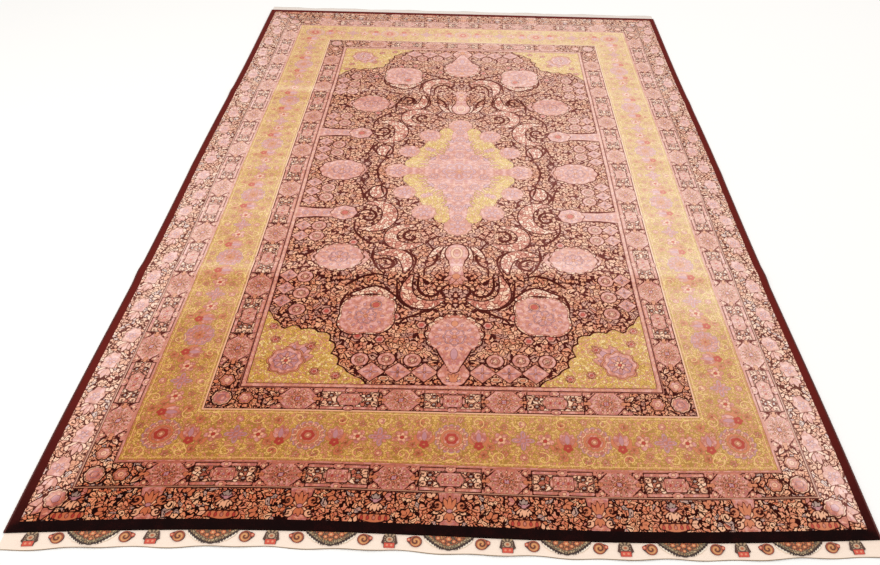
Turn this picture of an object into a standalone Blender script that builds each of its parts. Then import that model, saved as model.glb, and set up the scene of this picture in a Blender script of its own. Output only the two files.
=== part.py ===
"""A medallion rug of knotted pile, laid out flat on a floor.

The pile is one thin slab with soft fold creases across it and a slightly bowed near end.
Both long sides have an overcast cord, both ends a flat-woven skirt, and the near skirt
carries small islands of pile: scalloped arches, curls and vases.

Metres, +Z up. The origin is on the floor under the middle of the rug, and -Y is the near end.
"""

import math

import bmesh
import bpy

# Sizes of the whole rug
RUG_WIDTH = 2.0  # over both overcast sides
RUG_LENGTH = 2.98  # of the pile, without the woven ends
PILE_THICKNESS = 0.0055  # knots and foundation together
GAP = 0.0003  # between pieces that touch
CORD_RADIUS = 0.003  # of the overcast sides
PILE_WIDTH = RUG_WIDTH - 2 * (2 * CORD_RADIUS + GAP)

# The woven ends
SKIRT_DEPTH = 0.041
SKIRT_THICKNESS = 0.0018
SKIRT_INSET = 0.004  # from the rug's sides
SKIRT_COLUMNS = 72
SKIRT_ROWS = (0.0, 0.5, 0.87, 0.94, 1.0)  # shares of the depth
LIP_START = 0.87  # share of the depth where the loose edge begins to rise
LIP_RISE = 0.0016
END_GAP = 0.0006  # between the bowed end of the pile and what lies beyond it

# How unevenly the cloth lies
BOW = 0.0125  # how far the near end swings out of line
BOW_REACH = 0.6  # how far that swing carries into the rug
SWAY = 0.0025  # of the long sides
SWAY_PITCH = 1.35
PILE_COLUMNS = 24
ROW_STEP = 0.16
CREASE_ROWS = (-1.0, -0.7, -0.4, 0.0, 0.4, 0.7, 1.0)  # in half widths
CREASES = (
    # centre y, height, half width, skew from side to side, phase
    (-0.585, 0.0045, 0.060, 0.014, 0.4),
    (0.585, 0.0040, 0.060, -0.010, 2.1),
    (0.015, 0.0022, 0.070, 0.008, 3.6),
)
RIPPLES = (
    # amplitude and wavelength of the loose woven edge, and phase
    (0.0017, 0.149, 0.4),
    (0.0014, 0.317, 1.9),
)

# The islands of pile on the near skirt, which repeat along it
ISLAND_PITCH = 0.2667
ISLAND_THICKNESS = 0.0024
ARCHES = 7
ARCH_HALF_WIDTH = 0.0575
ARCH_DEPTH = 0.0335
ARCH_SCALLOPS = 9
ARCH_POINTS = 28
CURL_OFFSET = 0.0745  # from the middle of its arch
CURL_RADIUS = 0.0145
CURL_LEAF = 0.0070  # how far its leaf stands out
CURL_DEPTH = 0.0158  # of its centre
CURL_POINTS = 20
VASE_OUTLINE = (
    # half width, depth
    (0.0115, 0.0008),
    (0.0150, 0.0070),
    (0.0165, 0.0150),
    (0.0185, 0.0215),
    (0.0130, 0.0255),
    (0.0125, 0.0335),
)

COLOURS = {
    # red, green, blue, roughness
    "pile": (0.42, 0.19, 0.15, 0.85),
    "overcast_side": (0.13, 0.018, 0.020, 0.8),
    "woven_end": (0.83, 0.74, 0.66, 0.9),
    "arch_pile": (0.34, 0.20, 0.12, 0.85),
    "curl_pile": (0.62, 0.28, 0.11, 0.85),
    "vase_pile": (0.40, 0.24, 0.18, 0.85),
}


def clear_scene():
    for old in list(bpy.data.objects):
        bpy.data.objects.remove(old)


def smooth_step(share):
    share = min(1.0, max(0.0, share))
    return share * share * (3 - 2 * share)


def laid(x, y):
    """Where a point of the straight, woven rug really lies on the floor."""
    near = smooth_step(1 - (y + RUG_LENGTH / 2) / BOW_REACH)
    out_of_line = BOW * math.sin(math.pi * x / (RUG_WIDTH / 2)) * near
    sway = SWAY * math.sin(math.tau * y / SWAY_PITCH + 0.7) * x / (RUG_WIDTH / 2)
    return x + sway, y - out_of_line


def lift(x, y):
    """Height of the underside over the floor, which is zero away from the fold creases."""
    height = 0.0
    for centre, rise, half_width, skew, phase in CREASES:
        away = abs(y - centre - skew * x) / half_width
        if away < 1:
            uneven = 0.8 + 0.2 * math.cos(math.tau * x / 0.9 + phase)
            height += rise * uneven * (0.5 + 0.5 * math.cos(math.pi * away))
    return height


def row_places():
    """Places of the grid's rows along the rug: even ones, and close ones at each crease."""
    steps = round(RUG_LENGTH / ROW_STEP)
    places = [RUG_LENGTH * (i / steps - 0.5) for i in range(steps + 1)]
    for centre, _, half_width, skew, _ in CREASES:
        reach = half_width + abs(skew)
        places = [y for y in places if abs(y - centre) > reach * 1.15]
        places += [centre + share * reach for share in CREASE_ROWS]
    return sorted(places)


def finish_of(name):
    red, green, blue, roughness = COLOURS[name]
    material = bpy.data.materials.get(name) or bpy.data.materials.new(name)
    material.use_nodes = True
    shader = material.node_tree.nodes["Principled BSDF"]
    shader.inputs["Base Color"].default_value = (red, green, blue, 1)
    shader.inputs["Roughness"].default_value = roughness
    return material


def add_object(name, data, finish, collection):
    made = bpy.data.objects.new(name, data)
    made.data.materials.append(finish_of(finish))
    collection.objects.link(made)
    return made


def grid_mesh(name, columns, rows, place):
    """An open grid whose corner in column i and row j goes to place(i, j)."""
    bm = bmesh.new()
    bmesh.ops.create_grid(bm, x_segments=columns, y_segments=rows, size=1)
    for vert in bm.verts:
        i = round((vert.co.x + 1) / 2 * columns)
        j = round((vert.co.y + 1) / 2 * rows)
        vert.co = place(i, j)
    mesh = bpy.data.meshes.new(name)
    bm.to_mesh(mesh)
    bm.free()
    mesh.shade_smooth()
    return mesh


def thicken(made, thickness):
    """Solidify upwards, so that the grid stays as the underside."""
    wall = made.modifiers.new("Thickness", "SOLIDIFY")
    wall.thickness = thickness
    wall.offset = 1
    wall.use_even_offset = False


def pile(collection):
    rows = row_places()

    def place(i, j):
        x = PILE_WIDTH * (i / PILE_COLUMNS - 0.5)
        return (*laid(x, rows[j]), lift(x, rows[j]))

    mesh = grid_mesh("pile", PILE_COLUMNS, len(rows) - 1, place)
    thicken(add_object("pile", mesh, "pile", collection), PILE_THICKNESS)


def overcast_side(name, side, collection):
    """The cord along one long side, which follows the pile over the creases."""
    x = side * (RUG_WIDTH / 2 - CORD_RADIUS)
    curve = bpy.data.curves.new(name, "CURVE")
    curve.dimensions = "3D"
    curve.bevel_depth = CORD_RADIUS
    curve.bevel_resolution = 2
    curve.use_fill_caps = True
    rows = row_places()
    spline = curve.splines.new("POLY")
    spline.points.add(len(rows) - 1)
    for point, y in zip(spline.points, rows):
        point.co = (*laid(x, y), lift(x, y) + CORD_RADIUS, 1)
    add_object(name, curve, "overcast_side", collection)


def skirt_edge(x):
    """How far the loose edge of a skirt strays from its depth."""
    return sum(
        size * math.sin(math.tau * x / pitch + phase) for size, pitch, phase in RIPPLES
    )


def skirt(name, end, collection):
    """The flat-woven strip beyond one end of the pile: end is -1 near, 1 far."""
    half_width = RUG_WIDTH / 2 - SKIRT_INSET

    def place(i, j):
        x = half_width * (2 * i / SKIRT_COLUMNS - 1)
        share = SKIRT_ROWS[j]
        depth = END_GAP + share * SKIRT_DEPTH + skirt_edge(end * x) * share**3
        floor_x, floor_y = laid(x, end * RUG_LENGTH / 2)
        loose = smooth_step((share - LIP_START) / (1 - LIP_START))
        curl = 0.5 + 0.5 * math.sin(math.tau * x / RIPPLES[1][1] + end)
        return floor_x, floor_y + end * depth, LIP_RISE * loose * curl

    mesh = grid_mesh(name, SKIRT_COLUMNS, len(SKIRT_ROWS) - 1, place)
    if end < 0:
        mesh.flip_normals()  # the rows run away from the pile, so this grid is upside down
    thicken(add_object(name, mesh, "woven_end", collection), SKIRT_THICKNESS)


def island(name, finish, middle, outline, collection):
    """A flat island of pile on the near skirt, from its outline of (across, depth) points."""
    curve = bpy.data.curves.new(name, "CURVE")
    curve.dimensions = "2D"
    curve.fill_mode = "BOTH"
    curve.extrude = ISLAND_THICKNESS / 2
    spline = curve.splines.new("POLY")
    spline.points.add(len(outline) - 1)
    spline.use_cyclic_u = True
    for point, (across, depth) in zip(spline.points, outline):
        x, y = laid(middle + across, -RUG_LENGTH / 2)
        point.co = (x, y - END_GAP - depth, 0, 1)
    made = add_object(name, curve, finish, collection)
    made.location.z = SKIRT_THICKNESS + GAP + ISLAND_THICKNESS / 2


def arch_outline():
    """Half a scalloped medallion, cut off along the end of the pile."""
    outline = []
    for i in range(ARCH_POINTS):
        angle = math.pi * i / (ARCH_POINTS - 1)
        scallop = 0.93 + 0.07 * abs(math.sin(ARCH_SCALLOPS * angle))
        across = ARCH_HALF_WIDTH * math.cos(angle)
        depth = ARCH_DEPTH * math.sin(angle) ** 1.25 * scallop
        outline.append((across, 0.0008 + depth))
    return outline


def curl_outline(side):
    """A round scroll with one leaf, which points away from its arch."""
    outline = []
    for i in range(CURL_POINTS):
        angle = math.tau * i / CURL_POINTS
        from_leaf = math.remainder(angle - 0.25, math.tau) / 0.42
        radius = CURL_RADIUS + CURL_LEAF * math.exp(-from_leaf * from_leaf)
        across = side * radius * math.cos(angle)
        depth = CURL_DEPTH - 0.92 * radius * math.sin(angle)
        outline.append((across, depth))
    return outline


def vase_outline():
    right = list(VASE_OUTLINE)
    left = [(-across, depth) for across, depth in reversed(VASE_OUTLINE)]
    return right + left


def islands(collection):
    for i in range(ARCHES):
        middle = (i - (ARCHES - 1) / 2) * ISLAND_PITCH
        island(f"arch_{i + 1}", "arch_pile", middle, arch_outline(), collection)
        for side, word in ((-1, "left"), (1, "right")):
            outline = curl_outline(side)
            place = middle + side * CURL_OFFSET
            island(f"curl_{i + 1}_{word}", "curl_pile", place, outline, collection)
    for i in range(ARCHES + 1):
        middle = (i - ARCHES / 2) * ISLAND_PITCH
        island(f"vase_{i + 1}", "vase_pile", middle, vase_outline(), collection)


def build():
    clear_scene()
    collection = bpy.data.collections.new("medallion_rug")
    bpy.context.scene.collection.children.link(collection)
    pile(collection)
    overcast_side("overcast_side_left", -1, collection)
    overcast_side("overcast_side_right", 1, collection)
    skirt("woven_end_near", -1, collection)
    skirt("woven_end_far", 1, collection)
    islands(collection)


build()
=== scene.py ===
# %% [markdown]
# # A medallion rug in silk pile
#
# A fine Persian rug is one flat sheet of knots, so nearly everything that it shows is its design.
# This lesson lays the rug out as a set of woven zones: a field with a medallion, and nested
# borders round it. Each zone is a thin slab whose top is an even grid, and the design is drawn
# on that grid before the cloth gets its small unevenness, as a weaver follows a chart.

import math

import bmesh
import bpy
import numpy as np
from mathutils import Matrix, Vector


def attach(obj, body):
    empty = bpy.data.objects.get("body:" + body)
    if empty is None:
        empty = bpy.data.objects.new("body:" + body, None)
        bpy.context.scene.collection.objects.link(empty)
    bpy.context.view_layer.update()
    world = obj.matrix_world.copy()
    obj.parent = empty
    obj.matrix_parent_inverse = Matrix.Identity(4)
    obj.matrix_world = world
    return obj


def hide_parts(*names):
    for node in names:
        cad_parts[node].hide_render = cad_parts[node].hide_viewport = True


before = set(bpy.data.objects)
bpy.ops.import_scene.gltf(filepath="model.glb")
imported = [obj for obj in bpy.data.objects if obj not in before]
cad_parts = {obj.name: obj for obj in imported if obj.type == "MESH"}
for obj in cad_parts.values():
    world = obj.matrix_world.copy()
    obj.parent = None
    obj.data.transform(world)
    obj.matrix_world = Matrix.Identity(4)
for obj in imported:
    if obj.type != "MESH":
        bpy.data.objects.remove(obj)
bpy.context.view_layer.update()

# %% [markdown]
# ## How the cloth lies
#
# A real rug is never quite straight. Its near end swings out of line, its sides sway a little, and
# soft creases stay where it was folded. Two functions hold all of that, so that every piece is
# drawn straight and then laid in the same way: `laid` moves a point along the floor, and `lift`
# raises it. The alternative, a lattice modifier on each piece, would be harder to keep the same.

# %% Laying a straight design on the floor
RUG_WIDTH, RUG_LENGTH = 2.0, 2.98
HALF_WIDTH, HALF_LENGTH = RUG_WIDTH / 2, RUG_LENGTH / 2
PILE_THICKNESS = 0.0055
CORD_RADIUS = 0.003
GAP = 0.0003  # between pieces that touch
PILE_HALF_WIDTH = HALF_WIDTH - 2 * CORD_RADIUS - GAP
FLOOR_GAP = 0.0004  # between the floor and the underside of the pile
BOW, BOW_REACH = 0.0125, 0.6  # how far the near end swings out, and how far that carries
SWAY, SWAY_PITCH = 0.0025, 1.35  # of the long sides
CREASE_PITCH = 0.9  # over which a crease swells and sinks across the rug
CREASES = (
    # centre y, height, half width, skew from side to side, phase
    (-0.585, 0.0045, 0.060, 0.014, 0.4),
    (0.585, 0.0040, 0.060, -0.010, 2.1),
    (0.015, 0.0022, 0.070, 0.008, 3.6),
)


def smooth_step(share):
    share = np.clip(share, 0, 1)
    return share * share * (3 - 2 * share)


def laid(x, y):
    """Where a point of the straight, woven rug really lies on the floor."""
    near = smooth_step(1 - (y + HALF_LENGTH) / BOW_REACH)
    out_of_line = BOW * np.sin(np.pi * x / HALF_WIDTH) * near
    sway = SWAY * np.sin(np.pi * 2 * y / SWAY_PITCH + 0.7) * x / HALF_WIDTH
    return x + sway, y - out_of_line


def lift(x, y):
    """Height of the underside over the floor, which is zero away from the creases."""
    height = np.zeros_like(x)
    for centre, rise, half_width, skew, phase in CREASES:
        away = np.clip(np.abs(y - centre - skew * x) / half_width, 0, 1)
        uneven = 0.8 + 0.2 * np.cos(np.pi * 2 * x / CREASE_PITCH + phase)
        height += rise * uneven * (0.5 + 0.5 * np.cos(np.pi * away))
    return height


print(len(CREASES), "creases, the highest", max(crease[1] for crease in CREASES) * 1000, "mm")

# %% [markdown]
# ## The chart
#
# A motif has to keep a clean edge, although the grid's points are 3 to 4 mm apart. A colour stored
# at each point would blur. So the chart stores, for each yarn, the distance in millimetres to the
# edge of that yarn's area, positive inside. The material cuts at zero, which gives smooth edges
# between points. Painting a shape raises its own yarn's distance and lowers all the others.
# A thin line is narrower than the grid, so it is kept as a signed distance to the line instead.

# %% Yarns and the chart
YARNS = ("rose", "cream", "salmon", "gold", "slate", "red", "dark", "lilac", "florets")
FAR = 40.0  # millimetres, further than any edge that matters
COVERED = 0.3  # millimetres inside its edge from where a yarn hides the thin lines


class Chart:
    """The design at a zone's points, seen in coordinates that can be turned or shifted."""

    def __init__(self, x, y, store=None):
        self.x, self.y = x, y
        self.store = store or {
            "yarn": np.full((len(YARNS), len(x)), -FAR, np.float32),
            "line": np.full(len(x), FAR, np.float32),
            "off_line": np.full(len(x), FAR, np.float32),
            "line_width": np.full(len(x), 1.0, np.float32),
        }

    def seen(self, x, y):
        return Chart(x, y, self.store)

    def close_to(self, at, reach, turn=0.0):
        """The points within reach of a place, and where they are as seen from it."""
        spot = (np.abs(self.x - at[0]) < reach) & (np.abs(self.y - at[1]) < reach)
        points = np.flatnonzero(spot)
        across, along = self.x[points] - at[0], self.y[points] - at[1]
        c, s = math.cos(turn), math.sin(turn)
        return points, across * c + along * s, along * c - across * s

    def knot(self, yarn, points, inside):
        """Lay a yarn over the points, where inside is the distance inside its edge in metres."""
        inside = np.clip(inside * 1000, -FAR, FAR)
        patch = self.store["yarn"][:, points]
        row = YARNS.index(yarn)
        own = np.maximum(patch[row], inside)
        patch = np.minimum(patch, -inside)
        patch[row] = own
        self.store["yarn"][:, points] = patch
        covered = points[inside > COVERED]
        self.store["off_line"][covered] = FAR
        self.store["line"][covered] = np.where(self.store["line"][covered] < 0, -FAR, FAR)

    def clear(self, points, inside):
        """Bring the ground back inside a shape."""
        inside = np.clip(inside * 1000, -FAR, FAR)
        patch = self.store["yarn"][:, points]
        self.store["yarn"][:, points] = np.minimum(patch, -inside)

    def trace(self, points, distance, side, width):
        """Keep a thin line where it is closer than any line so far."""
        distance = distance * 1000
        closer = distance < self.store["off_line"][points]
        chosen = points[closer]
        self.store["off_line"][chosen] = distance[closer]
        self.store["line"][chosen] = distance[closer] * side[closer]
        self.store["line_width"][chosen] = width * 1000


print(len(YARNS), "yarns:", ", ".join(YARNS))

# %% [markdown]
# ## The weaver's shapes
#
# Persian ornament uses a small set of shapes again and again: lobed blossoms in rings, petals,
# ovals, leaves, and fans of leaves. Each could be a flat mesh laid on the pile, but then it would
# stand up like a sticker. Here each is one short function that works out how far inside the
# shape every grid point is, and knots the yarn there.

# %% Blossoms, ovals and leaves
TURN = math.tau


def oval(u, v, half_u, half_v):
    """Roughly how far inside an oval a point is."""
    share = np.hypot(u / half_u, v / half_v)
    slope = np.hypot(u / half_u**2, v / half_v**2)
    return np.where(
        share < 0.05, min(half_u, half_v), share * (1 - share) / np.maximum(slope, 1e-6)
    )


def blossom(chart, at, radius, rings, turn=0.0, stretch=1.0):
    """Lobed rings from the outside in: (yarn, share of the radius, lobes, depth of the lobes)."""
    points, u, v = chart.close_to(at, radius * max(1, stretch) + 0.010, turn)
    u = u / stretch
    away, angle = np.hypot(u, v), np.arctan2(v, u)
    for yarn, share, lobes, depth in rings:
        edge = radius * share * (1 - depth + depth * np.abs(np.cos(lobes * angle / 2)))
        chart.knot(yarn, points, edge - away)


def petals(chart, at, count, inner, outer, half_width, yarn, turn=0.0, stretch=1.0):
    """A ring of oval petals that reach from inner to outer."""
    points, u, v = chart.close_to(at, outer * max(1, stretch) + 0.008, turn)
    u = u / stretch
    step = TURN / count
    angle = (np.arctan2(v, u) + step / 2) % step - step / 2
    away = np.hypot(u, v)
    along, across = away * np.cos(angle), away * np.sin(angle)
    inside = oval(along - (inner + outer) / 2, across, (outer - inner) / 2, half_width)
    chart.knot(yarn, points, inside)


def disc(chart, at, half_u, half_v, yarn):
    points, u, v = chart.close_to(at, max(half_u, half_v) + 0.008)
    chart.knot(yarn, points, oval(u, v, half_u, half_v))


def leaf(chart, at, turn, length, half_width, yarn, fat=0.8, edge=0.0):
    """A leaf from its stem at a point; edge is the width of a dark rim round it."""
    points, u, v = chart.close_to(at, length + edge + 0.008, turn)
    share = np.clip(u / length, 0, 1)
    half = half_width * np.sin(np.pi * share**fat)
    inside = half - np.abs(v) - np.maximum(0, -u) - np.maximum(0, u - length)
    if edge:
        chart.knot("dark", points, inside + edge)
    chart.knot(yarn, points, inside)


def fan(chart, at, turn, length, count, spread, half_width, yarns, shrink=0.35, edge=0.0):
    """Leaves spread like a palmette, the outer ones shorter and laid first."""
    order = sorted(range(count), key=lambda i: -abs(i - (count - 1) / 2))
    for i in order:
        off = (i - (count - 1) / 2) / max(1, (count - 1) / 2)
        reach = length * (1 - shrink * abs(off))
        yarn = yarns[int(abs(off) * (len(yarns) - 0.01)) % len(yarns)]
        leaf(chart, at, turn + off * spread, reach, half_width, yarn, fat=1.3, edge=edge)


# %% [markdown]
# Other motifs are strokes: hooked leaves, curls and thin vines. A curve object could draw them,
# but only above the pile. So a stroke is a smooth route through a few points, and each grid point
# close to it finds its distance to the route. The width of a hook changes along it. A vine is
# thinner than the grid's step, so it goes into the chart as a line.

# %% Strokes: routes, hooks, vines and spirals
NEAR_LINE = 0.012  # how far from a line the chart still records it


def smooth_through(route, per_span=7):
    """A smooth curve through a few points, by the Catmull-Rom rule."""
    p = np.array(route, float)
    p = np.vstack([2 * p[0] - p[1], p, 2 * p[-1] - p[-2]])
    t = np.linspace(0, 1, per_span, endpoint=False)[:, None]
    spans = []
    for a, b, c, d in zip(p, p[1:], p[2:], p[3:]):
        spans.append(
            b
            + (c - a) * t / 2
            + (2 * a - 5 * b + 4 * c - d) * t**2 / 2
            + (3 * b - a - 3 * c + d) * t**3 / 2
        )
    return np.vstack([*spans, p[-2:-1]])


def nearest(x, y, route):
    """Distance to a line of points, which side of it, and how far along it, from 0 to 1."""
    best = np.full(len(x), 9.0)
    side, share = np.ones(len(x)), np.zeros(len(x))
    lengths = np.hypot(*np.diff(route, axis=0).T)
    total, before = lengths.sum(), 0.0
    for (ax, ay), (bx, by), length in zip(route, route[1:], lengths):
        ex, ey = (bx - ax) / length, (by - ay) / length
        dx, dy = x - ax, y - ay
        along = np.clip(dx * ex + dy * ey, 0, length)
        distance = np.hypot(dx - along * ex, dy - along * ey)
        closer = distance < best
        best[closer] = distance[closer]
        side[closer] = np.where((dy * ex - dx * ey)[closer] < 0, -1, 1)
        share[closer] = (before + along[closer]) / total
        before += length
    return best, side, share


def span_of(route, margin):
    """The middle of a route, and how far it reaches from there."""
    low, high = route.min(0), route.max(0)
    return (low + high) / 2, max(high - low) / 2 + margin


def hook(chart, route, widths, yarn):
    """A leaf along a curve, whose half width changes from one end to the other."""
    line = smooth_through(route)
    middle, reach = span_of(line, max(widths) + 0.009)
    points, u, v = chart.close_to(middle, reach)
    distance, _, share = nearest(u + middle[0], v + middle[1], line)
    half = np.interp(share, np.linspace(0, 1, len(widths)), widths)
    chart.knot(yarn, points, half - distance)


def vine(chart, route, half_width):
    """A thin line along a curve."""
    line = smooth_through(route)
    middle, reach = span_of(line, NEAR_LINE)
    points, u, v = chart.close_to(middle, reach)
    distance, side, _ = nearest(u + middle[0], v + middle[1], line)
    chart.trace(points, distance, side, half_width)


SPIRAL_HEART = 0.15  # the inner end's distance from the middle, as a share of the radius


def spiral(at, radius, turns, start, hand=1, count=14):
    """Points of a spiral from the outside in."""
    share = np.linspace(0, 1, count)
    angle = start + hand * TURN * turns * share
    away = radius * (1 - (1 - SPIRAL_HEART) * share)
    return np.stack([at[0] + away * np.cos(angle), at[1] + away * np.sin(angle)], 1)


print("a spiral of two turns has", len(smooth_through(spiral((0, 0), 0.02, 2, 0))), "points")

# %% [markdown]
# ## Zones and how they repeat
#
# A rug's borders nest inside one another, each a set distance in from the edge. The design
# mirrors about both middle lines, so the chart only looks at distances from the middle. A border
# runs along the ends and along the sides, and it is drawn once: `runs` looks at the same points
# as along the band and out across it, whichever way the band goes.

# %% The zones
# Distances in from the rug's edge, where each zone ends
GUARD, OUTER_BORDER, OUTER_BAND = 0.026, 0.112, 0.187
GOLD_BORDER, INNER_BAND, RAIL = 0.350, 0.430, 0.443
FIELD_X, FIELD_Y = HALF_WIDTH - RAIL, HALF_LENGTH - RAIL

# How far apart the motifs repeat along the ends and along the sides
BAND_END_PITCH, BAND_SIDE_PITCH = 0.2733, 0.262
GOLD_END_PITCH, GOLD_SIDE_PITCH = 0.3635, 0.3475
LEAFY_END_PITCH, LEAFY_SIDE_PITCH = 0.35, 0.3475
PAST_SEAM = 0.008  # how far a stripe at a zone's edge runs on beyond the seam


def runs(chart, middle):
    """The chart seen along the ends and along the sides: x is along, y is out from middle."""
    end = chart.seen(chart.x, chart.y - (HALF_LENGTH - middle))
    side = chart.seen(chart.y, chart.x - (HALF_WIDTH - middle))
    return (
        ("end", end, HALF_WIDTH - middle),
        ("side", side, HALF_LENGTH - middle),
    )


def stripe(chart, start, stop, yarn):
    """A plain line all round the rug, between two distances from its edge."""
    edge = np.minimum(HALF_WIDTH - chart.x, HALF_LENGTH - chart.y)
    points = np.flatnonzero((edge > start - NEAR_LINE) & (edge < stop + NEAR_LINE))
    chart.knot(yarn, points, np.minimum(edge - start, stop - edge)[points])


def edge_line(chart, at, half_width):
    """A thin line all round the rug, at one distance from its edge."""
    edge = np.minimum(HALF_WIDTH - chart.x, HALF_LENGTH - chart.y)
    points = np.flatnonzero(np.abs(edge - at) < NEAR_LINE)
    off = (edge - at)[points]
    chart.trace(points, np.abs(off), np.where(off < 0, -1, 1), half_width)


print("the field is", round(2 * FIELD_X, 3), "x", round(2 * FIELD_Y, 3), "m inside its rail")

# %% [markdown]
# ## The field's design
#
# The middle of the field is a gold medallion with a rose heart and a ring of lobes. Round it run
# big hooked leaves on the darkest ground, then a ring of large rose palmettes, and gold quarter
# medallions fill the corners. All places are metres from the middle of the rug.
#
# The medallion's edge is lobed, and it is the same in all four quarters. So a quarter of it is a
# row of points, read by their bearing from the middle, with scallops added by a cosine. Small
# leaves across the heart's edge let the rose and the gold run into each other, as the knots do.

# %% The medallion
def edge_by_angle(chart, corner, outline, yarn, lobes, depth):
    """A shape that is seen whole from a corner: outline is a row of points round it."""
    across, along = np.array(outline, float).T
    bearing = np.arctan2(along, across)
    order = np.argsort(bearing)
    points, u, v = chart.close_to(corner, np.hypot(across, along).max() + 0.02)
    angle = np.arctan2(v, u)
    reach = np.interp(angle, bearing[order], np.hypot(across, along)[order])
    reach = reach - depth * (1 - np.abs(np.cos(lobes * angle)))
    chart.knot(yarn, points, reach - np.hypot(u, v))


MEDALLION_EDGE = (
    (0.202, 0.0), (0.204, 0.070), (0.178, 0.102), (0.160, 0.150), (0.142, 0.182),
    (0.128, 0.212), (0.092, 0.232), (0.080, 0.300), (0.062, 0.318), (0.0, 0.325),
)  # fmt: skip
HEART_EDGE = (
    (0.137, 0.0), (0.136, 0.035), (0.126, 0.070), (0.108, 0.100), (0.080, 0.128),
    (0.058, 0.155), (0.046, 0.195), (0.034, 0.225), (0.030, 0.290), (0.0, 0.335),
)  # fmt: skip
LOBES = (
    # x, y, radius, direction it points
    (0.0, 0.338, 0.050, 0.25),
    (0.120, 0.258, 0.045, 0.18),
    (0.195, 0.138, 0.042, 0.10),
    (0.232, 0.0, 0.046, 0.0),
)


def feather(chart, edge):
    """Small leaves across the heart's edge, which let the rose and the gold run together."""
    line = smooth_through(edge, 4)
    for i, (x, y) in enumerate(line):
        outward = math.atan2(y * 0.5, x) + (0.5 if i % 2 else -0.3)
        if i % 3:
            leaf(chart, (x * 0.97, y * 0.97), outward, 0.026 - 0.004 * (i % 2), 0.0046, "rose")
        else:
            leaf(chart, (x, y), outward + TURN / 2, 0.022, 0.0036, "gold")


def medallion(chart):
    for x, y, radius, _ in LOBES:
        points, u, v = chart.close_to((x, y), radius + 0.03)
        chart.clear(points, radius + 0.003 - np.hypot(u, v))
    edge_by_angle(chart, (0, 0), MEDALLION_EDGE, "gold", 12, 0.005)
    edge_by_angle(chart, (0, 0), HEART_EDGE, "rose", 9, 0.010)
    hook(chart, ((0.10, 0), (0.20, 0)), (0.030, 0.020, 0.026), "rose")
    feather(chart, HEART_EDGE[1:-2])
    for x, y in ((0.122, 0.158), (0.106, 0.150)):
        blossom(chart, (x, y), 0.016, (("rose", 1, 5, 0.3), ("lilac", 0.4, 0, 0)))
    for x, y, radius, bearing in LOBES:
        turn = bearing * TURN
        blossom(chart, (x, y), radius, (("rose", 1.0, 10, 0.10),), turn)
        petals(chart, (x, y), 6, radius * 0.26, radius * 0.62, 0.0050, "lilac", turn)
        disc(chart, (x, y), radius * 0.17, radius * 0.17, "lilac")
    heart(chart)


# %% [markdown]
# The medallion's heart is pale, and its drawing is soft: a star in the middle, a row of blossoms
# on the long axis, and small fans between. Close yarns are used for it, so that it stays quiet
# beside the gold.

# %% The medallion's heart
def heart(chart):
    """A pale star with blossoms, in rose and lilac."""
    blossom(chart, (0, 0), 0.064, (("lilac", 1, 8, 0.2), ("rose", 0.84, 8, 0.2)))
    petals(chart, (0, 0), 8, 0.016, 0.046, 0.0058, "lilac")
    disc(chart, (0, 0), 0.008, 0.008, "salmon")
    for x, y in ((0.092, 0.034), (0.058, 0.098), (0.0, 0.112), (0.0, 0.172), (0.0, 0.232), (0.0, 0.288)):
        blossom(chart, (x, y), 0.020, (("lilac", 1, 6, 0.25), ("rose", 0.66, 6, 0.2)))
        disc(chart, (x, y), 0.0040, 0.0040, "lilac")
    for x, y, turn in ((0.032, 0.142, 1.2), (0.090, 0.082, 0.6), (0.028, 0.205, 1.4)):
        fan(chart, (x, y), turn, 0.030, 5, 1.3, 0.0042, ("lilac", "rose"))


print("the medallion reaches", MEDALLION_EDGE[0][0], "m across and", MEDALLION_EDGE[-1][1], "m along")

# %% [markdown]
# The hooked leaves are the boldest shapes in the field. Each is a crescent that starts and ends
# in a thin point, with a dark curl in its bay. Each is one stroke with a row of half widths along
# it, which is easier to bend into place than an outline would be. A dark rim is laid first, so
# that the crescent stands out of the small flowers round it.

# %% The hooked leaves
HOOKED_LEAVES = (
    # route along the middle, half widths
    (((0.322, 0.210), (0.278, 0.212), (0.246, 0.240), (0.236, 0.285), (0.252, 0.330), (0.290, 0.358),
      (0.332, 0.356)), (0.004, 0.016, 0.023, 0.025, 0.023, 0.015, 0.004)),
    (((0.150, 0.338), (0.190, 0.345), (0.218, 0.372), (0.224, 0.408), (0.205, 0.438), (0.165, 0.450),
      (0.118, 0.434)), (0.004, 0.013, 0.018, 0.020, 0.019, 0.015, 0.004)),
    (((0.164, 0.582), (0.160, 0.545), (0.168, 0.510), (0.192, 0.488), (0.226, 0.482), (0.264, 0.490)),
     (0.004, 0.015, 0.020, 0.020, 0.015, 0.004)),
    (((0.140, 0.600), (0.152, 0.645), (0.148, 0.690), (0.120, 0.720), (0.080, 0.728), (0.038, 0.706)),
     (0.004, 0.014, 0.020, 0.021, 0.016, 0.004)),
)  # fmt: skip
INNER_CURLS = (
    ((0.345, 0.262), (0.318, 0.250), (0.292, 0.262), (0.284, 0.288), (0.300, 0.310), (0.322, 0.304),
     (0.320, 0.286)),
    ((0.132, 0.368), (0.158, 0.364), (0.178, 0.380), (0.178, 0.404), (0.158, 0.416), (0.142, 0.404),
     (0.150, 0.390)),
    ((0.262, 0.520), (0.232, 0.512), (0.206, 0.528), (0.206, 0.554), (0.230, 0.566), (0.246, 0.550)),
    ((0.118, 0.612), (0.118, 0.650), (0.102, 0.682), (0.072, 0.690), (0.054, 0.672), (0.068, 0.658)),
)  # fmt: skip
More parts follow.
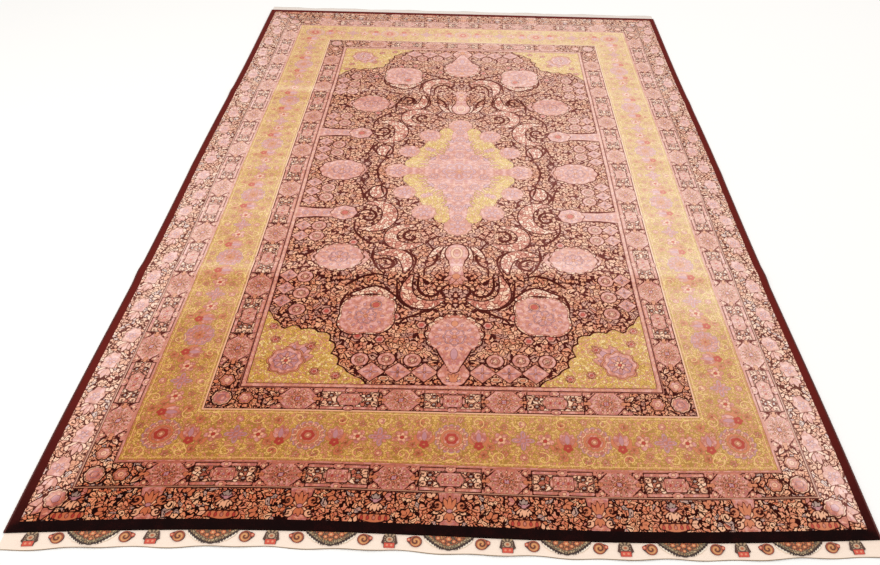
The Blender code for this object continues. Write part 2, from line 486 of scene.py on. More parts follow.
DARK_SCROLLS = (
    # route, half width at the middle
    (((0.352, 0.310), (0.350, 0.362), (0.318, 0.410), (0.282, 0.434), (0.246, 0.424)), 0.0034),
    (((0.270, 0.450), (0.276, 0.500), (0.254, 0.560), (0.228, 0.592)), 0.0036),
    (((0.345, 0.645), (0.314, 0.620), (0.285, 0.602), (0.252, 0.594), (0.214, 0.604)), 0.0042),
    (((0.168, 0.818), (0.150, 0.790), (0.120, 0.774), (0.092, 0.758), (0.055, 0.745)), 0.0040),
    (((0.345, 0.015), (0.334, 0.045), (0.352, 0.075), (0.334, 0.110)), 0.0030),
    (((0.362, 0.095), (0.346, 0.145), (0.338, 0.190)), 0.0030),
    (((0.276, 0.096), (0.296, 0.052), (0.305, 0.0), (0.296, -0.052)), 0.0030),
    (((0.238, 0.172), (0.214, 0.190), (0.208, 0.226)), 0.0035),
    (((0.102, 0.420), (0.080, 0.460), (0.064, 0.500), (0.076, 0.540), (0.100, 0.562),
      (0.102, 0.600)), 0.0042),
    (((0.050, 0.390), (0.080, 0.402), (0.102, 0.424)), 0.0035),
    (((0.026, 0.636), (0.046, 0.664), (0.036, 0.692)), 0.0035),
    (((0.205, 0.462), (0.160, 0.478), (0.134, 0.510), (0.136, 0.555), (0.152, 0.598)), 0.0030),
    (((0.186, 0.610), (0.182, 0.660), (0.172, 0.710), (0.138, 0.742), (0.090, 0.752)), 0.0030),
    (((0.322, 0.120), (0.336, 0.160), (0.320, 0.200)), 0.0035),
    (((0.200, 0.780), (0.184, 0.740), (0.196, 0.700)), 0.0040),
    (((0.330, 0.675), (0.345, 0.720), (0.344, 0.770)), 0.0035),
)  # fmt: skip
SCROLL_TAPER = (0.3, 0.8, 0.8, 0.3)  # shares of a dark scroll's half width, along it
LEAF_RIM = 0.0036  # of dark pile round a hooked leaf


def hooked_leaves(chart):
    for route, half_width in DARK_SCROLLS:
        hook(chart, route, [half_width * share for share in SCROLL_TAPER], "dark")
    for route, widths in HOOKED_LEAVES:
        hook(chart, route, [w + LEAF_RIM for w in widths], "dark")
        hook(chart, route, widths, "florets")
    for route in INNER_CURLS:
        hook(chart, route, (0.0020, 0.0040, 0.0042, 0.0026), "dark")
    disc(chart, (0.290, 0.140), 0.034, 0.042, "dark")
    disc(chart, (0.291, 0.140), 0.0285, 0.036, "florets")
    hook(chart, ((0.282, 0.108), (0.276, 0.130), (0.268, 0.156)), (0.003, 0.0048, 0.002), "dark")
    for x, y in ((0.385, 0.762), (0.178, 0.782), (0.280, 0.863), (0.215, 0.876), (0.345, 0.432),
                 (0.098, 0.815)):  # fmt: skip
        blossom(chart, (x, y), 0.014, (("dark", 1.2, 6, 0.2), ("rose", 1, 6, 0.2), ("red", 0.55, 6, 0.2)))


print(4 * len(HOOKED_LEAVES), "hooked leaves and", 4 * len(DARK_SCROLLS), "dark scrolls")

# %% [markdown]
# A ring of large rose palmettes stands outside the leaves: a tall pointed one on the middle line,
# round ones on the diagonals, and ovals and long vases towards the sides. Each is built as it
# would be inlaid, from the dark rim inwards, one shape over the other. Their soft lilac filling
# is the same for all, so one helper draws it.

# %% The large palmettes
def palmette_filling(chart, at, size, stretch=1.0, turn=0.0):
    """The soft drawing inside one large rose palmette."""
    petals(chart, at, 11, size * 0.72, size * 0.94, size * 0.070, "lilac", turn, stretch)
    blossom(chart, at, size * 0.58, (("lilac", 1, 8, 0.18), ("rose", 0.86, 8, 0.18)), turn, stretch)
    petals(chart, at, 6, size * 0.16, size * 0.42, size * 0.065, "lilac", turn, stretch)
    disc(chart, at, size * 0.10, size * 0.10, "salmon")


def wreath(chart, at, radius, stretch=1.0):
    """A ring of florets that a palmette stands in."""
    blossom(chart, at, radius, (("dark", 1.04, 14, 0.10), ("florets", 1.0, 14, 0.10)), 0, stretch)
    petals(chart, at, 14, radius * 0.86, radius * 0.98, 0.0042, "cream", 0, stretch)


def large_palmettes(chart):
    # a tall pointed one on the middle line, at each end of the field
    wreath(chart, (0, 0.852), 0.086)
    hook(chart, ((0, 0.87), (0, 0.930), (0, 0.985)), (0.068, 0.046, 0.018), "dark")
    blossom(chart, (0, 0.858), 0.076, (("rose", 1.0, 12, 0.06),))
    hook(chart, ((0, 0.87), (0, 0.930), (0, 0.985)), (0.064, 0.042, 0.015), "rose")
    palmette_filling(chart, (0, 0.862), 0.062)
    disc(chart, (0, 0.808), 0.010, 0.012, "salmon")
    disc(chart, (0, 0.930), 0.010, 0.022, "lilac")
    # round ones on the diagonals, with a crest towards the medallion
    hook(chart, ((0.184, 0.700), (0.245, 0.664), (0.318, 0.686)), (0.008, 0.020, 0.008), "dark")
    hook(chart, ((0.188, 0.700), (0.245, 0.666), (0.314, 0.686)), (0.005, 0.0155, 0.005), "florets")
    square = (("dark", 1.0, 4, 0.16), ("florets", 0.97, 4, 0.16), ("rose", 0.91, 4, 0.16))
    blossom(chart, (0.262, 0.772), 0.094, square, TURN / 8, 1.06)
    palmette_filling(chart, (0.266, 0.780), 0.060, turn=0.3)
    blossom(chart, (0.240, 0.732), 0.015, (("lilac", 1.25, 0, 0), ("salmon", 1, 0, 0), ("red", 0.7, 0, 0)))
    # pointed ovals towards the sides
    at = (0.382, 0.508)
    leaf(chart, (0.330, 0.510), TURN / 2, 0.048, 0.040, "rose", edge=0.003)
    leaf(chart, (0.430, 0.508), 0, 0.046, 0.036, "rose", edge=0.003)
    wreath(chart, at, 0.073, 1.12)
    blossom(chart, at, 0.066, (("rose", 1.0, 10, 0.08),), 0, 1.18)
    palmette_filling(chart, at, 0.052, 1.2)
    # long vases that reach in from the sides
    hook(chart, ((0.556, 0.270), (0.44, 0.270)), (0.034, 0.027), "dark")
    hook(chart, ((0.556, 0.270), (0.50, 0.270), (0.43, 0.270)), (0.031, 0.022, 0.024), "rose")
    blossom(chart, (0.397, 0.268), 0.041, (("dark", 1.07, 8, 0.1), ("rose", 1.0, 8, 0.10)), 0, 1.1)
    petals(chart, (0.397, 0.268), 8, 0.020, 0.034, 0.0036, "lilac")
    blossom(chart, (0.394, 0.268), 0.016, (("salmon", 1, 8, 0.2), ("red", 0.72, 5, 0.1)))
    for x in (0.458, 0.495, 0.530):
        disc(chart, (x, 0.270), 0.012, 0.011, "lilac")
        disc(chart, (x, 0.270), 0.006, 0.006, "rose")
    # ovals at the middle of each side
    leaf(chart, (0.390, 0.0), TURN / 2, 0.046, 0.046, "rose", edge=0.003)
    blossom(chart, (0.438, 0.0), 0.068, (("dark", 1.04, 10, 0.08), ("rose", 1.0, 10, 0.08)), 0, 1.22)
    palmette_filling(chart, (0.438, 0.0), 0.054, 1.25)


# %% [markdown]
# Small flowers fill the edges of the field: blossoms in dark rings, and rows of pink diamonds
# that lean on the rail. They stand in straight rows, so short lists of places and two loops are
# enough. A pale lily stands on the middle line between the medallion and the end palmette.

# %% The lily and the small flowers
def lily(chart):
    """A tall pale flower with two dark leaves on each side of its stem."""
    for x, turn in ((0.030, 1.30), (0.046, 0.95)):
        leaf(chart, (x, 0.440), turn, 0.090, 0.0125, "dark")
        leaf(chart, (x, 0.442), turn, 0.084, 0.0095, "florets")
    disc(chart, (0, 0.482), 0.041, 0.052, "dark")
    disc(chart, (0, 0.482), 0.037, 0.048, "rose")
    hook(chart, ((0, 0.500), (0, 0.545), (0, 0.610)), (0.028, 0.019, 0.026), "rose")
    disc(chart, (0, 0.480), 0.020, 0.030, "cream")
    disc(chart, (0, 0.480), 0.012, 0.020, "rose")
    disc(chart, (0, 0.562), 0.013, 0.017, "cream")
    for turn in (0.5, 1.1, 2.0, 2.6):
        leaf(chart, (0, 0.596), turn, 0.046, 0.0080, "rose", edge=0.002)
    disc(chart, (0, 0.600), 0.013, 0.012, "salmon")


RINGED = (
    (0.472, 0.120), (0.472, 0.178), (0.472, 0.345), (0.472, 0.402), (0.474, 0.610),
    (0.474, 0.684), (0.474, 0.757), (0.116, 0.955), (0.189, 0.952), (0.263, 0.955),
)  # fmt: skip


def small_flowers(chart):
    for x, y in RINGED:
        disc(chart, (x, y), 0.0268, 0.0250, "dark")
        blossom(chart, (x, y), 0.0244, (("rose", 1, 8, 0.05), ("salmon", 0.62, 8, 0.12),
                                        ("rose", 0.50, 8, 0.12)))  # fmt: skip
        petals(chart, (x, y), 5, 0.001, 0.0085, 0.0024, "cream")
    for i in range(3):
        diamond(chart, (0.080 + 0.0740 * i, 1.000), 0.0378, 0.0345)
        at = (0.117 + 0.0740 * i, 1.024)
        disc(chart, at, 0.014, 0.0085, "cream")
        disc(chart, at, 0.009, 0.0045, "salmon")
    for y in (0.085, 0.142, 0.199, 0.345, 0.402, 0.605, 0.662, 0.719):
        diamond(chart, (0.526, y), 0.029, 0.0285)
    # the rose arch under the end palmette
    blossom(chart, (0, 1.004), 0.044, (("dark", 1.07, 6, 0.08), ("rose", 1.0, 6, 0.08)))
    fan(chart, (0, 1.030), -TURN / 4, 0.036, 7, 1.5, 0.0042, ("salmon", "cream", "lilac"))
    disc(chart, (0, 1.026), 0.012, 0.008, "salmon")


def diamond(chart, at, half_u, half_v):
    """A pink diamond with a fine flower in it."""
    points, u, v = chart.close_to(at, max(half_u, half_v) + 0.012)
    inside = (1 - np.abs(u) / half_u - np.abs(v) / half_v) * min(half_u, half_v) * 0.72
    chart.knot("dark", points, inside + 0.0014)
    chart.knot("rose", points, inside)
    petals(chart, at, 4, 0.003, min(half_u, half_v) * 0.62, 0.0030, "lilac")
    disc(chart, at, 0.0032, 0.0032, "salmon")


print(4 * len(RINGED), "flowers in dark rings")

# %% [markdown]
# A gold quarter medallion with one large flower fills each corner of the field. Its scalloped
# edge is again a row of points, seen from the corner, and its dark outline is the same edge laid
# a little larger first. The ground between all these shapes stays bare here: the material fills
# it with small curls and florets, which are too fine for the grid.

# %% The corner pieces, and the whole field
SPANDREL_EDGE = (
    (0.319, 0.0), (0.307, 0.024), (0.262, 0.045), (0.240, 0.078), (0.219, 0.118),
    (0.215, 0.150), (0.199, 0.184), (0.165, 0.205), (0.129, 0.211), (0.090, 0.222),
    (0.052, 0.215), (0.030, 0.250), (0.0, 0.284),
)  # fmt: skip
SPANDREL_RIM = 1.016  # size of the dark outline, as a share of the corner piece


def spandrels(chart):
    corner = chart.seen(FIELD_X - chart.x, FIELD_Y - chart.y)
    rim = [(u * SPANDREL_RIM, v * SPANDREL_RIM) for u, v in SPANDREL_EDGE]
    edge_by_angle(corner, (0, 0), rim, "dark", 16, 0.011)
    edge_by_angle(corner, (0, 0), SPANDREL_EDGE, "gold", 16, 0.012)
    flower = (0.090, 0.084)
    for turn, length in (
        (0.25, 0.080), (0.79, 0.104), (1.32, 0.080), (2.4, 0.056), (3.9, 0.060), (5.5, 0.056),
    ):  # fmt: skip
        leaf(corner, flower, turn, length, 0.024, "rose")
        leaf(corner, flower, turn, length * 0.82, 0.013, "lilac")
    blossom(corner, flower, 0.054, (("salmon", 1, 8, 0.15), ("rose", 0.90, 8, 0.15),
                                    ("lilac", 0.66, 8, 0.15)))  # fmt: skip
    petals(corner, flower, 8, 0.012, 0.032, 0.005, "rose")
    petals(corner, flower, 6, 0.004, 0.016, 0.004, "cream")
    disc(corner, flower, 0.0060, 0.0060, "red")
    for u, v in ((0.175, 0.045), (0.045, 0.165), (0.150, 0.140), (0.235, 0.030), (0.030, 0.218)):
        blossom(corner, (u, v), 0.015, (("salmon", 1, 6, 0.25), ("rose", 0.68, 6, 0.2)))
        disc(corner, (u, v), 0.0045, 0.0045, "red")


def design_field(chart):
    """Everything in the field, from the lowest layer to the one on top, and the rail round it."""
    small_flowers(chart)
    hooked_leaves(chart)
    large_palmettes(chart)
    lily(chart)
    spandrels(chart)
    medallion(chart)
    stripe(chart, INNER_BAND - 0.004, RAIL + 0.0012, "dark")
    stripe(chart, INNER_BAND + 0.0010, RAIL - 0.0004, "rose")
    edge_line(chart, (INNER_BAND + RAIL) / 2, 0.0009)


print("each corner piece covers", SPANDREL_EDGE[0][0], "m of the field's end")

# %% [markdown]
# ## The bands
#
# Two bands carry the same pair of motifs, one after the other: a round medallion on a rose
# lozenge, and a long panel with a bar along each edge. Each is drawn at a place along the band,
# so that a short loop can repeat it. An array modifier would repeat it too, but it would know
# nothing of the corners.
#
# The medallion is rings of petals, one inside the other. A dark bar that ends in a curl crosses
# each corner of its lozenge, and small blossoms stand outside the bars.

# %% Round medallions
CORNER_BAR = (
    # along and across, in shares of the radius
    (0.66, 0.94), (0.90, 0.70), (1.14, 0.40), (1.28, 0.34), (1.30, 0.48), (1.20, 0.50),
)  # fmt: skip


def round_medallion(run, along, radius, stretch):
    """A rose lozenge full of petals, with a dark bar that ends in a curl across each corner."""
    at = (along, 0.0)
    points, u, v = run.close_to(at, 0.075)
    lozenge = np.minimum(0.0500 - np.abs(u), radius * 0.98 - np.abs(v))
    lozenge = np.minimum(lozenge, (0.0660 - np.abs(u) - np.abs(v)) * 0.7)
    run.knot("dark", points, lozenge + 0.0012)
    run.knot("rose", points, lozenge)
    for side in (-1, 1):
        for deep in (-1, 1):
            corner = (along + side * 0.0455, deep * radius * 0.74)
            blossom(run, corner, 0.0095, (("dark", 1.15, 5, 0.2), ("rose", 1, 5, 0.2),
                                          ("cream", 0.5, 0, 0)), side)  # fmt: skip
        petals(run, (along + side * 0.0460, 0), 5, 0.001, 0.0075, 0.0030, "salmon", side)
    petals(run, at, 16, radius * 0.70, radius * 0.92, radius * 0.065, "cream", 0, stretch)
    petals(run, at, 12, radius * 0.44, radius * 0.66, radius * 0.070, "salmon", 0, stretch)
    petals(run, at, 8, radius * 0.30, radius * 0.48, radius * 0.060, "cream", TURN / 16, stretch)
    blossom(run, at, radius * 0.34, (("salmon", 1, 4, 0.25), ("red", 0.66, 4, 0.25)), 0, stretch)
    petals(run, at, 4, 0.001, radius * 0.20, radius * 0.070, "lilac", TURN / 8, stretch)
    for side in (-1, 1):
        for deep in (-1, 1):
            across = side * radius * stretch * 0.94
            route = [(along + u * across, deep * v * radius) for u, v in CORNER_BAR]
            hook(run, route, (0.0009, 0.0013, 0.0013, 0.0009), "dark")


# %% [markdown]
# A panel is a dark frame with a light filling. A rose block with three rows of dots stands in its
# middle, between two knobs, with a crown over each edge. Towards each end follow two small eyes
# and two curls. These parts are only a few millimetres across, so each is two to four ovals laid
# one inside the other, and a table of them says more than an outline would.

# %% Panels
# Ovals laid one inside the other: half width along the band, half width across it, yarn
EYE = (
    (0.0100, 0.0086, "dark"), (0.0088, 0.0074, "salmon"), (0.0064, 0.0050, "dark"),
    (0.0044, 0.0033, "slate"),
)  # fmt: skip
KNOB = ((0.0120, 0.0165, "dark"), (0.0104, 0.0149, "cream"), (0.0084, 0.0125, "rose"))
CROWN = ((0.0150, 0.0096, "dark"), (0.0132, 0.0080, "rose"), (0.0052, 0.0040, "cream"))


def nested(run, at, ovals):
    for half_u, half_v, yarn in ovals:
        disc(run, at, half_u, half_v, yarn)


def panel(run, along, half_long, half_deep):
    """A framed panel: bars along both edges, eyes and curls on both sides of a rose block."""
    points, u, v = run.close_to((along, 0), half_long + 0.012)
    box = np.minimum(half_long - np.abs(u), half_deep - np.abs(v))
    run.knot("dark", points, box)
    run.knot("florets", points, box - 0.0016)
    bar = 0.0040 - np.abs(np.abs(v) - half_deep + 0.0058)
    bar = np.minimum(bar, half_long - 0.0030 - np.abs(u))
    run.knot("dark", points, bar + 0.0015)
    run.knot("rose", points, bar)
    for side in (-1, 1):
        for deep in (-1, 1):
            nested(run, (along + side * (half_long - 0.0270), deep * half_deep * 0.34), EYE)
            centre = (along + side * (half_long - 0.0100), deep * half_deep * 0.36)
            start = (0.9 if side > 0 else TURN / 2 - 0.9) * deep
            curl = spiral(centre, 0.0085, 1.2, start, side * deep, count=11)
            hook(run, curl, (0.0022, 0.0034, 0.0032, 0.0022), "dark")
            hook(run, curl, (0.0014, 0.0024, 0.0022, 0.0014), "cream")
    for side in (-1, 1):
        nested(run, (along + side * 0.0240, 0), KNOB)
    points, u, v = run.close_to((along, 0), 0.05)
    block = np.minimum(0.0250 - np.abs(u), half_deep * 0.55 - np.abs(v))
    run.knot("dark", points, block + 0.0013)
    run.knot("rose", points, block)
    for step in (-1.5, -0.5, 0.5, 1.5):
        disc(run, (along + step * 0.0125, 0.0085), 0.0026, 0.0040, "cream")
        disc(run, (along + step * 0.0125, -0.0085), 0.0026, 0.0040, "cream")
    for step in (-1, 0, 1):
        disc(run, (along + step * 0.0125, 0), 0.0030, 0.0040, "red" if step else "lilac")
    for deep in (-1, 1):
        nested(run, (along, deep * (half_deep - 0.0050)), CROWN)


print("a panel's eye is", 2000 * EYE[0][0], "mm wide")

# %% [markdown]
# Along a band the panels and medallions take turns, with a panel on the middle line. The loop
# stops short of the corner, where a large blossom with a smaller one on each side lets the two
# directions meet. The repeat is a little shorter along the sides than along the ends, as a
# weaver spaces it to come out even.

# %% Laying the motifs along a band
def between(run, along, half_deep):
    """Small leaves that fill the joint of a panel and a medallion."""
    for deep in (-1, 1):
        for turn in (0.75, 2.39):
            at = (along, deep * half_deep * 0.20)
            leaf(run, at, deep * turn, 0.026, 0.0058, "cream", edge=0.002)
            leaf(run, at, deep * turn, 0.017, 0.0026, "salmon")
        disc(run, (along, deep * half_deep * 0.86), 0.0080, 0.0052, "rose")
    disc(run, (along, 0), 0.0085, 0.0075, "dark")
    disc(run, (along, 0), 0.0058, 0.0052, "salmon")


def banded(chart, middle, half_deep, radius, stretch, corner_size):
    """Panels and medallions all round, in a band whose middle is that far from the edge."""
    for which, run, reach in runs(chart, middle):
        pitch = BAND_END_PITCH if which == "end" else BAND_SIDE_PITCH
        last = reach - half_deep - 0.002
        steps = int((last - 0.02) / (pitch / 2))
        for i in range(steps + 1):
            along = i * pitch / 2
            if along + pitch / 4 < last + 0.012:
                between(run, along + pitch * (0.285 if i % 2 == 0 else 0.215), half_deep)
            if i % 2:
                round_medallion(run, along, radius, stretch)
            elif along + pitch * 0.27 < last:
                panel(run, along, pitch * 0.280, half_deep)
    corner_x, corner_y = HALF_WIDTH - middle, HALF_LENGTH - middle
    blossom(chart, (corner_x, corner_y), corner_size, (
        ("dark", 1.1, 8, 0.12), ("cream", 1, 8, 0.12), ("rose", 0.86, 8, 0.12), ("lilac", 0.5, 6, 0.2),
        ("rose", 0.36, 6, 0.2),
    ))  # fmt: skip
    for step_x, step_y in ((0.062, 0.0), (0.0, 0.062)):
        at = (corner_x - step_x, corner_y - step_y)
        blossom(chart, at, corner_size * 0.8, (
            ("dark", 1.1, 6, 0.2), ("salmon", 1, 6, 0.2), ("rose", 0.8, 6, 0.2), ("cream", 0.4, 5, 0.2),
        ))  # fmt: skip


def design_inner_band(chart):
    stripe(chart, GOLD_BORDER - PAST_SEAM, GOLD_BORDER + 0.0026, "cream")
    stripe(chart, INNER_BAND - 0.0036, INNER_BAND - 0.0006, "rose")
    banded(chart, (GOLD_BORDER + INNER_BAND) / 2, 0.036, 0.0360, 1.16, 0.026)


def design_outer_band(chart):
    stripe(chart, OUTER_BORDER - PAST_SEAM, OUTER_BORDER + 0.0034, "rose")
    stripe(chart, OUTER_BAND - 0.0060, OUTER_BAND + PAST_SEAM, "rose")
    banded(chart, (OUTER_BORDER + OUTER_BAND - 0.0035) / 2, 0.0335, 0.0335, 1.28, 0.024)
    stripe(chart, OUTER_BORDER - PAST_SEAM, OUTER_BORDER + 0.0012, "cream")
    stripe(chart, OUTER_BAND - 0.0028, OUTER_BAND - 0.0014, "cream")


print("the bands repeat every", BAND_END_PITCH, "m on the ends and", BAND_SIDE_PITCH, "m on the sides")

# %% [markdown]
# ## The gold border
#
# The widest border has a gold ground. Along the ends a rosette with a red heart stands at each
# pitch, and along the sides a paler and softer one. Between two of them grow small fans, ragged
# blossoms and a lilac star. The blossoms are made from a few turned leaves and petals, because a
# round stamp would look printed here.

# %% Rosettes and ragged blossoms
def pale_rosette(run, at, radius):
    """The softer rosette of the long sides, with only a dot of red in it."""
    blossom(run, at, radius, (("lilac", 1.0, 12, 0.12), ("rose", 0.90, 12, 0.12)))
    petals(run, at, 12, radius * 0.58, radius * 0.86, 0.0036, "lilac")
    blossom(run, at, radius * 0.50, (("lilac", 1, 8, 0.15), ("rose", 0.84, 8, 0.15)))
    petals(run, at, 6, radius * 0.10, radius * 0.36, 0.0034, "salmon")
    disc(run, at, 0.0036, 0.0036, "red")


def gold_rosette(run, at, radius, turn=0.0, stretch=1.0):
    blossom(run, at, radius, (("lilac", 1.0, 16, 0.10), ("rose", 0.88, 16, 0.10),
                              ("cream", 0.72, 14, 0.10), ("salmon", 0.64, 14, 0.10),
                              ("rose", 0.50, 10, 0.12)), turn, stretch)  # fmt: skip
    petals(run, at, 14, radius * 0.74, radius * 0.94, 0.0028, "cream", turn, stretch)
    blossom(run, at, radius * 0.38, (("red", 1, 6, 0.15), ("rose", 0.52, 0, 0), ("cream", 0.26, 0, 0)),
            turn, stretch)  # fmt: skip


def gold_blossom(run, at, radius, turn, yarns):
    """A small ragged flower with a few leaves, so that no two look stamped."""
    for i in range(3):
        leaf(run, at, turn + i * 2.2, radius * 1.35, radius * 0.24, "salmon" if i else "rose")
    petals(run, at, 5, radius * 0.12, radius, radius * 0.36, yarns[0], turn)
    petals(run, at, 5, radius * 0.10, radius * 0.62, radius * 0.18, yarns[1], turn + 0.4)
    disc(run, at, radius * 0.24, radius * 0.24, yarns[2])


# %% [markdown]
# What stands between two rosettes is the same seen from either of them. So it is laid from both
# ends towards the middle, at places that are shares of the pitch. Thin gold spirals wind between
# the motifs, and a fine line runs along both edges.

# %% One repeat, and the whole gold border
COILS, COIL_STEP = 26, 0.0545  # thin spirals from the middle of a run outwards


def gold_repeat(run, start, pitch):
    """A fan, blossoms and half a star from one end, and the same from the other."""
    for step, end in ((1, start), (-1, start + pitch)):
        heading = 0.4 if step > 0 else TURN / 2 - 0.4
        at = end + step * pitch * 0.190
        fan(run, (at, 0.026), -TURN / 4, 0.060, 5, 0.62, 0.0105, ("rose", "rose", "salmon"), 0.25)
        leaf(run, (at, 0.010), -TURN / 4, 0.034, 0.0065, "lilac")
        petals(run, (at, 0.020), 5, 0.001, 0.0135, 0.0054, "red", 0.3)
        disc(run, (at, 0.020), 0.0036, 0.0036, "salmon")
        gold_blossom(run, (end + step * pitch * 0.345, 0.000), 0.024, heading, ("rose", "cream", "red"))
        gold_blossom(run, (end + step * pitch * 0.268, 0.022), 0.0135, heading + 2, ("salmon", "rose", "red"))
        for deep in (-1, 1):
            gold_blossom(run, (end + step * pitch * 0.225, deep * 0.047), 0.0135, deep * heading,
                         ("salmon", "rose", "red"))  # fmt: skip
            gold_blossom(run, (end + step * pitch * 0.060, deep * 0.060), 0.0110, deep * 2 * heading,
                         ("rose", "cream", "salmon"))  # fmt: skip
            gold_blossom(run, (end + step * pitch * 0.370, deep * 0.040), 0.0105, deep * heading + 1,
                         ("rose", "salmon", "cream"))  # fmt: skip
    middle = start + pitch / 2
    petals(run, (middle, 0), 4, 0.004, 0.024, 0.0052, "rose", TURN / 8)
    petals(run, (middle, 0), 4, 0.003, 0.030, 0.0072, "lilac")
    petals(run, (middle, 0), 4, 0.009, 0.024, 0.0026, "rose")
    disc(run, (middle, 0), 0.0055, 0.0055, "rose")
    for deep in (-1, 1):
        blossom(run, (middle, deep * 0.050), 0.0115, (("rose", 1, 6, 0.25), ("cream", 0.4, 0, 0)))


def design_gold_border(chart):
    middle = (OUTER_BAND + GOLD_BORDER) / 2
    for which, run, _ in runs(chart, middle):
        if which == "end":
            pitch, first, count = GOLD_END_PITCH, 0.0, 2
        else:
            pitch, first, count = GOLD_SIDE_PITCH, GOLD_SIDE_PITCH / 2, 3
            gold_repeat(run, -first, pitch)
        for i in range(count):
            if which == "end":
                gold_rosette(run, (first + i * pitch, 0.0), 0.046)
            else:
                pale_rosette(run, (first + i * pitch, 0.0), 0.044)
            gold_repeat(run, first + i * pitch, pitch)
        for i in range(COILS):
            at, deep = i * COIL_STEP + 0.012, (-1 if i % 2 else 1)
            route = spiral((at, deep * 0.052), 0.019, 1.1, 0.4 + i, deep, count=10)
            vine(run, route, 0.0010)
    corner = (HALF_WIDTH - middle, HALF_LENGTH - middle)
    gold_rosette(chart, corner, 0.045, TURN / 8, 1.12)
    stripe(chart, OUTER_BAND - PAST_SEAM, OUTER_BAND + 0.0022, "rose")
    edge_line(chart, OUTER_BAND + 0.0095, 0.0008)
    edge_line(chart, GOLD_BORDER - 0.0085, 0.0008)
    stripe(chart, GOLD_BORDER - 0.0020, GOLD_BORDER + PAST_SEAM, "cream")


print("the gold border is", round(1000 * (GOLD_BORDER - OUTER_BAND)), "mm wide")

# %% [markdown]
# ## The outer border
#
# Outside lies a dark border full of leaves, the busiest part of the rug. Along the ends rose
# vases with a curl on each side alternate with pale fans that open outwards. Along the sides
# broad pale leaves stand in a row. Each is a function of its place, like the motifs before it.

# %% Vases, fans and broad leaves
def border_palmette(run, at):
    """A rose vase that is wide at its inner rim and its foot, with a big curl on each side."""
    vase = ((at, -0.040), (at, -0.018), (at, 0.008), (at, 0.036))
    hook(run, vase, (0.0290, 0.0245, 0.0135, 0.0245), "dark")
    hook(run, vase, (0.0272, 0.0227, 0.0117, 0.0227), "rose")
    fan(run, (at, 0.014), -TURN / 4, 0.050, 7, 1.0, 0.0046, ("salmon", "cream", "salmon"), 0.18, edge=0.0008)
    fan(run, (at, 0.006), TURN / 4, 0.030, 5, 0.9, 0.0044, ("salmon", "cream"), 0.20, edge=0.0008)
    disc(run, (at, 0.006), 0.0070, 0.0050, "lilac")
    for side in (-1, 1):
        for centre, radius, yarn in (((0.030, -0.008), 0.0135, "salmon"), ((0.024, 0.024), 0.0100, "cream")):
            start = 0.6 if side > 0 else 2.5
            curl = spiral((at + side * centre[0], centre[1]), radius, 1.2, start, side, count=11)
            hook(run, curl, (0.0032, 0.0050, 0.0044, 0.0028), "dark")
            hook(run, curl, (0.0014, 0.0034, 0.0026, 0.0010), yarn)


def border_fan(run, at):
    """A pale fan that opens outwards from a lilac crown, over a broad salmon bud."""
    bud = ((at - 0.030, 0.030), (at, 0.033), (at + 0.030, 0.030))
    hook(run, bud, (0.0090, 0.0125, 0.0090), "dark")
    hook(run, bud, (0.0076, 0.0110, 0.0076), "salmon")
    for step in (-0.028, -0.014, 0.0, 0.014, 0.028):
        leaf(run, (at + step, 0.039), -TURN / 4, 0.016, 0.0040, "red" if step else "rose")
    fan(run, (at, -0.014), TURN / 4, 0.034, 9, 1.45, 0.0034, ("cream", "cream", "salmon"), 0.20, edge=0.0016)
    fan(run, (at, -0.014), -TURN / 4, 0.021, 5, 1.1, 0.0036, ("slate", "lilac"), 0.25, edge=0.0016)
    disc(run, (at, -0.013), 0.0060, 0.0050, "lilac")


def border_blob(run, at, deep):
    """A broad pale leaf, as it stands along the long sides."""
    blossom(run, (at, deep), 0.023, (("rose", 1, 7, 0.2),), 0.2, 1.5)
    fan(run, (at + 0.024, deep), 0.2, 0.040, 5, 1.0, 0.0062, ("rose", "cream"), edge=0.0015)
    petals(run, (at, deep), 5, 0.004, 0.014, 0.0034, "lilac")


print("vases and fans are", 500 * LEAFY_END_PITCH, "mm apart")

# %% [markdown]
# Small fans of leaves go down first, in two rows, and the large motifs over them. An even row of
# fans would look stamped, so each gets a random turn. The random numbers have a seed, and so the
# border comes out the same each time.

# %% The whole outer border
FAN_STEP = 0.0580


def design_outer_border(chart):
    middle = (GUARD + OUTER_BORDER) / 2
    pick = np.random.default_rng(5)
    for which, run, reach in runs(chart, middle):
        pitch = LEAFY_END_PITCH if which == "end" else LEAFY_SIDE_PITCH
        for i, along in enumerate(np.arange(0.040, reach - 0.03, FAN_STEP)):
            deep = 0.024 if i % 2 else -0.024
            turn = pick.uniform(0, TURN)
            colours = ("cream", "salmon", "rose")[i % 3], "salmon"
            fan(run, (along, deep), turn, 0.024, 4, 1.3, 0.0052, colours, edge=0.002)
        for i in range(5):
            along = i * pitch
            if which == "end":
                if along < reach - 0.03:
                    border_palmette(run, along)
                if along + pitch / 2 < reach - 0.03:
                    border_fan(run, along + pitch / 2)
            else:
                for share, deep in ((0.16, 0.008), (0.52, -0.010), (0.80, 0.012)):
                    if along + share * pitch < reach - 0.05:
                        border_blob(run, along + share * pitch, deep)
    corner = (HALF_WIDTH - middle - 0.014, HALF_LENGTH - middle - 0.014)
    for turn in (0.25, 0.79, 1.32):
        leaf(chart, corner, turn, 0.058, 0.0125, "rose", edge=0.002)
    blossom(chart, corner, 0.027, (("dark", 1.1, 8, 0.15), ("cream", 1, 8, 0.15), ("rose", 0.85, 8, 0.15),
                                   ("lilac", 0.4, 5, 0.2)))  # fmt: skip
    stripe(chart, OUTER_BORDER - 0.0034, OUTER_BORDER + PAST_SEAM, "rose")
    stripe(chart, OUTER_BORDER - 0.0008, OUTER_BORDER + PAST_SEAM, "cream")


print("the outer border is", round(1000 * (OUTER_BORDER - GUARD)), "mm wide")

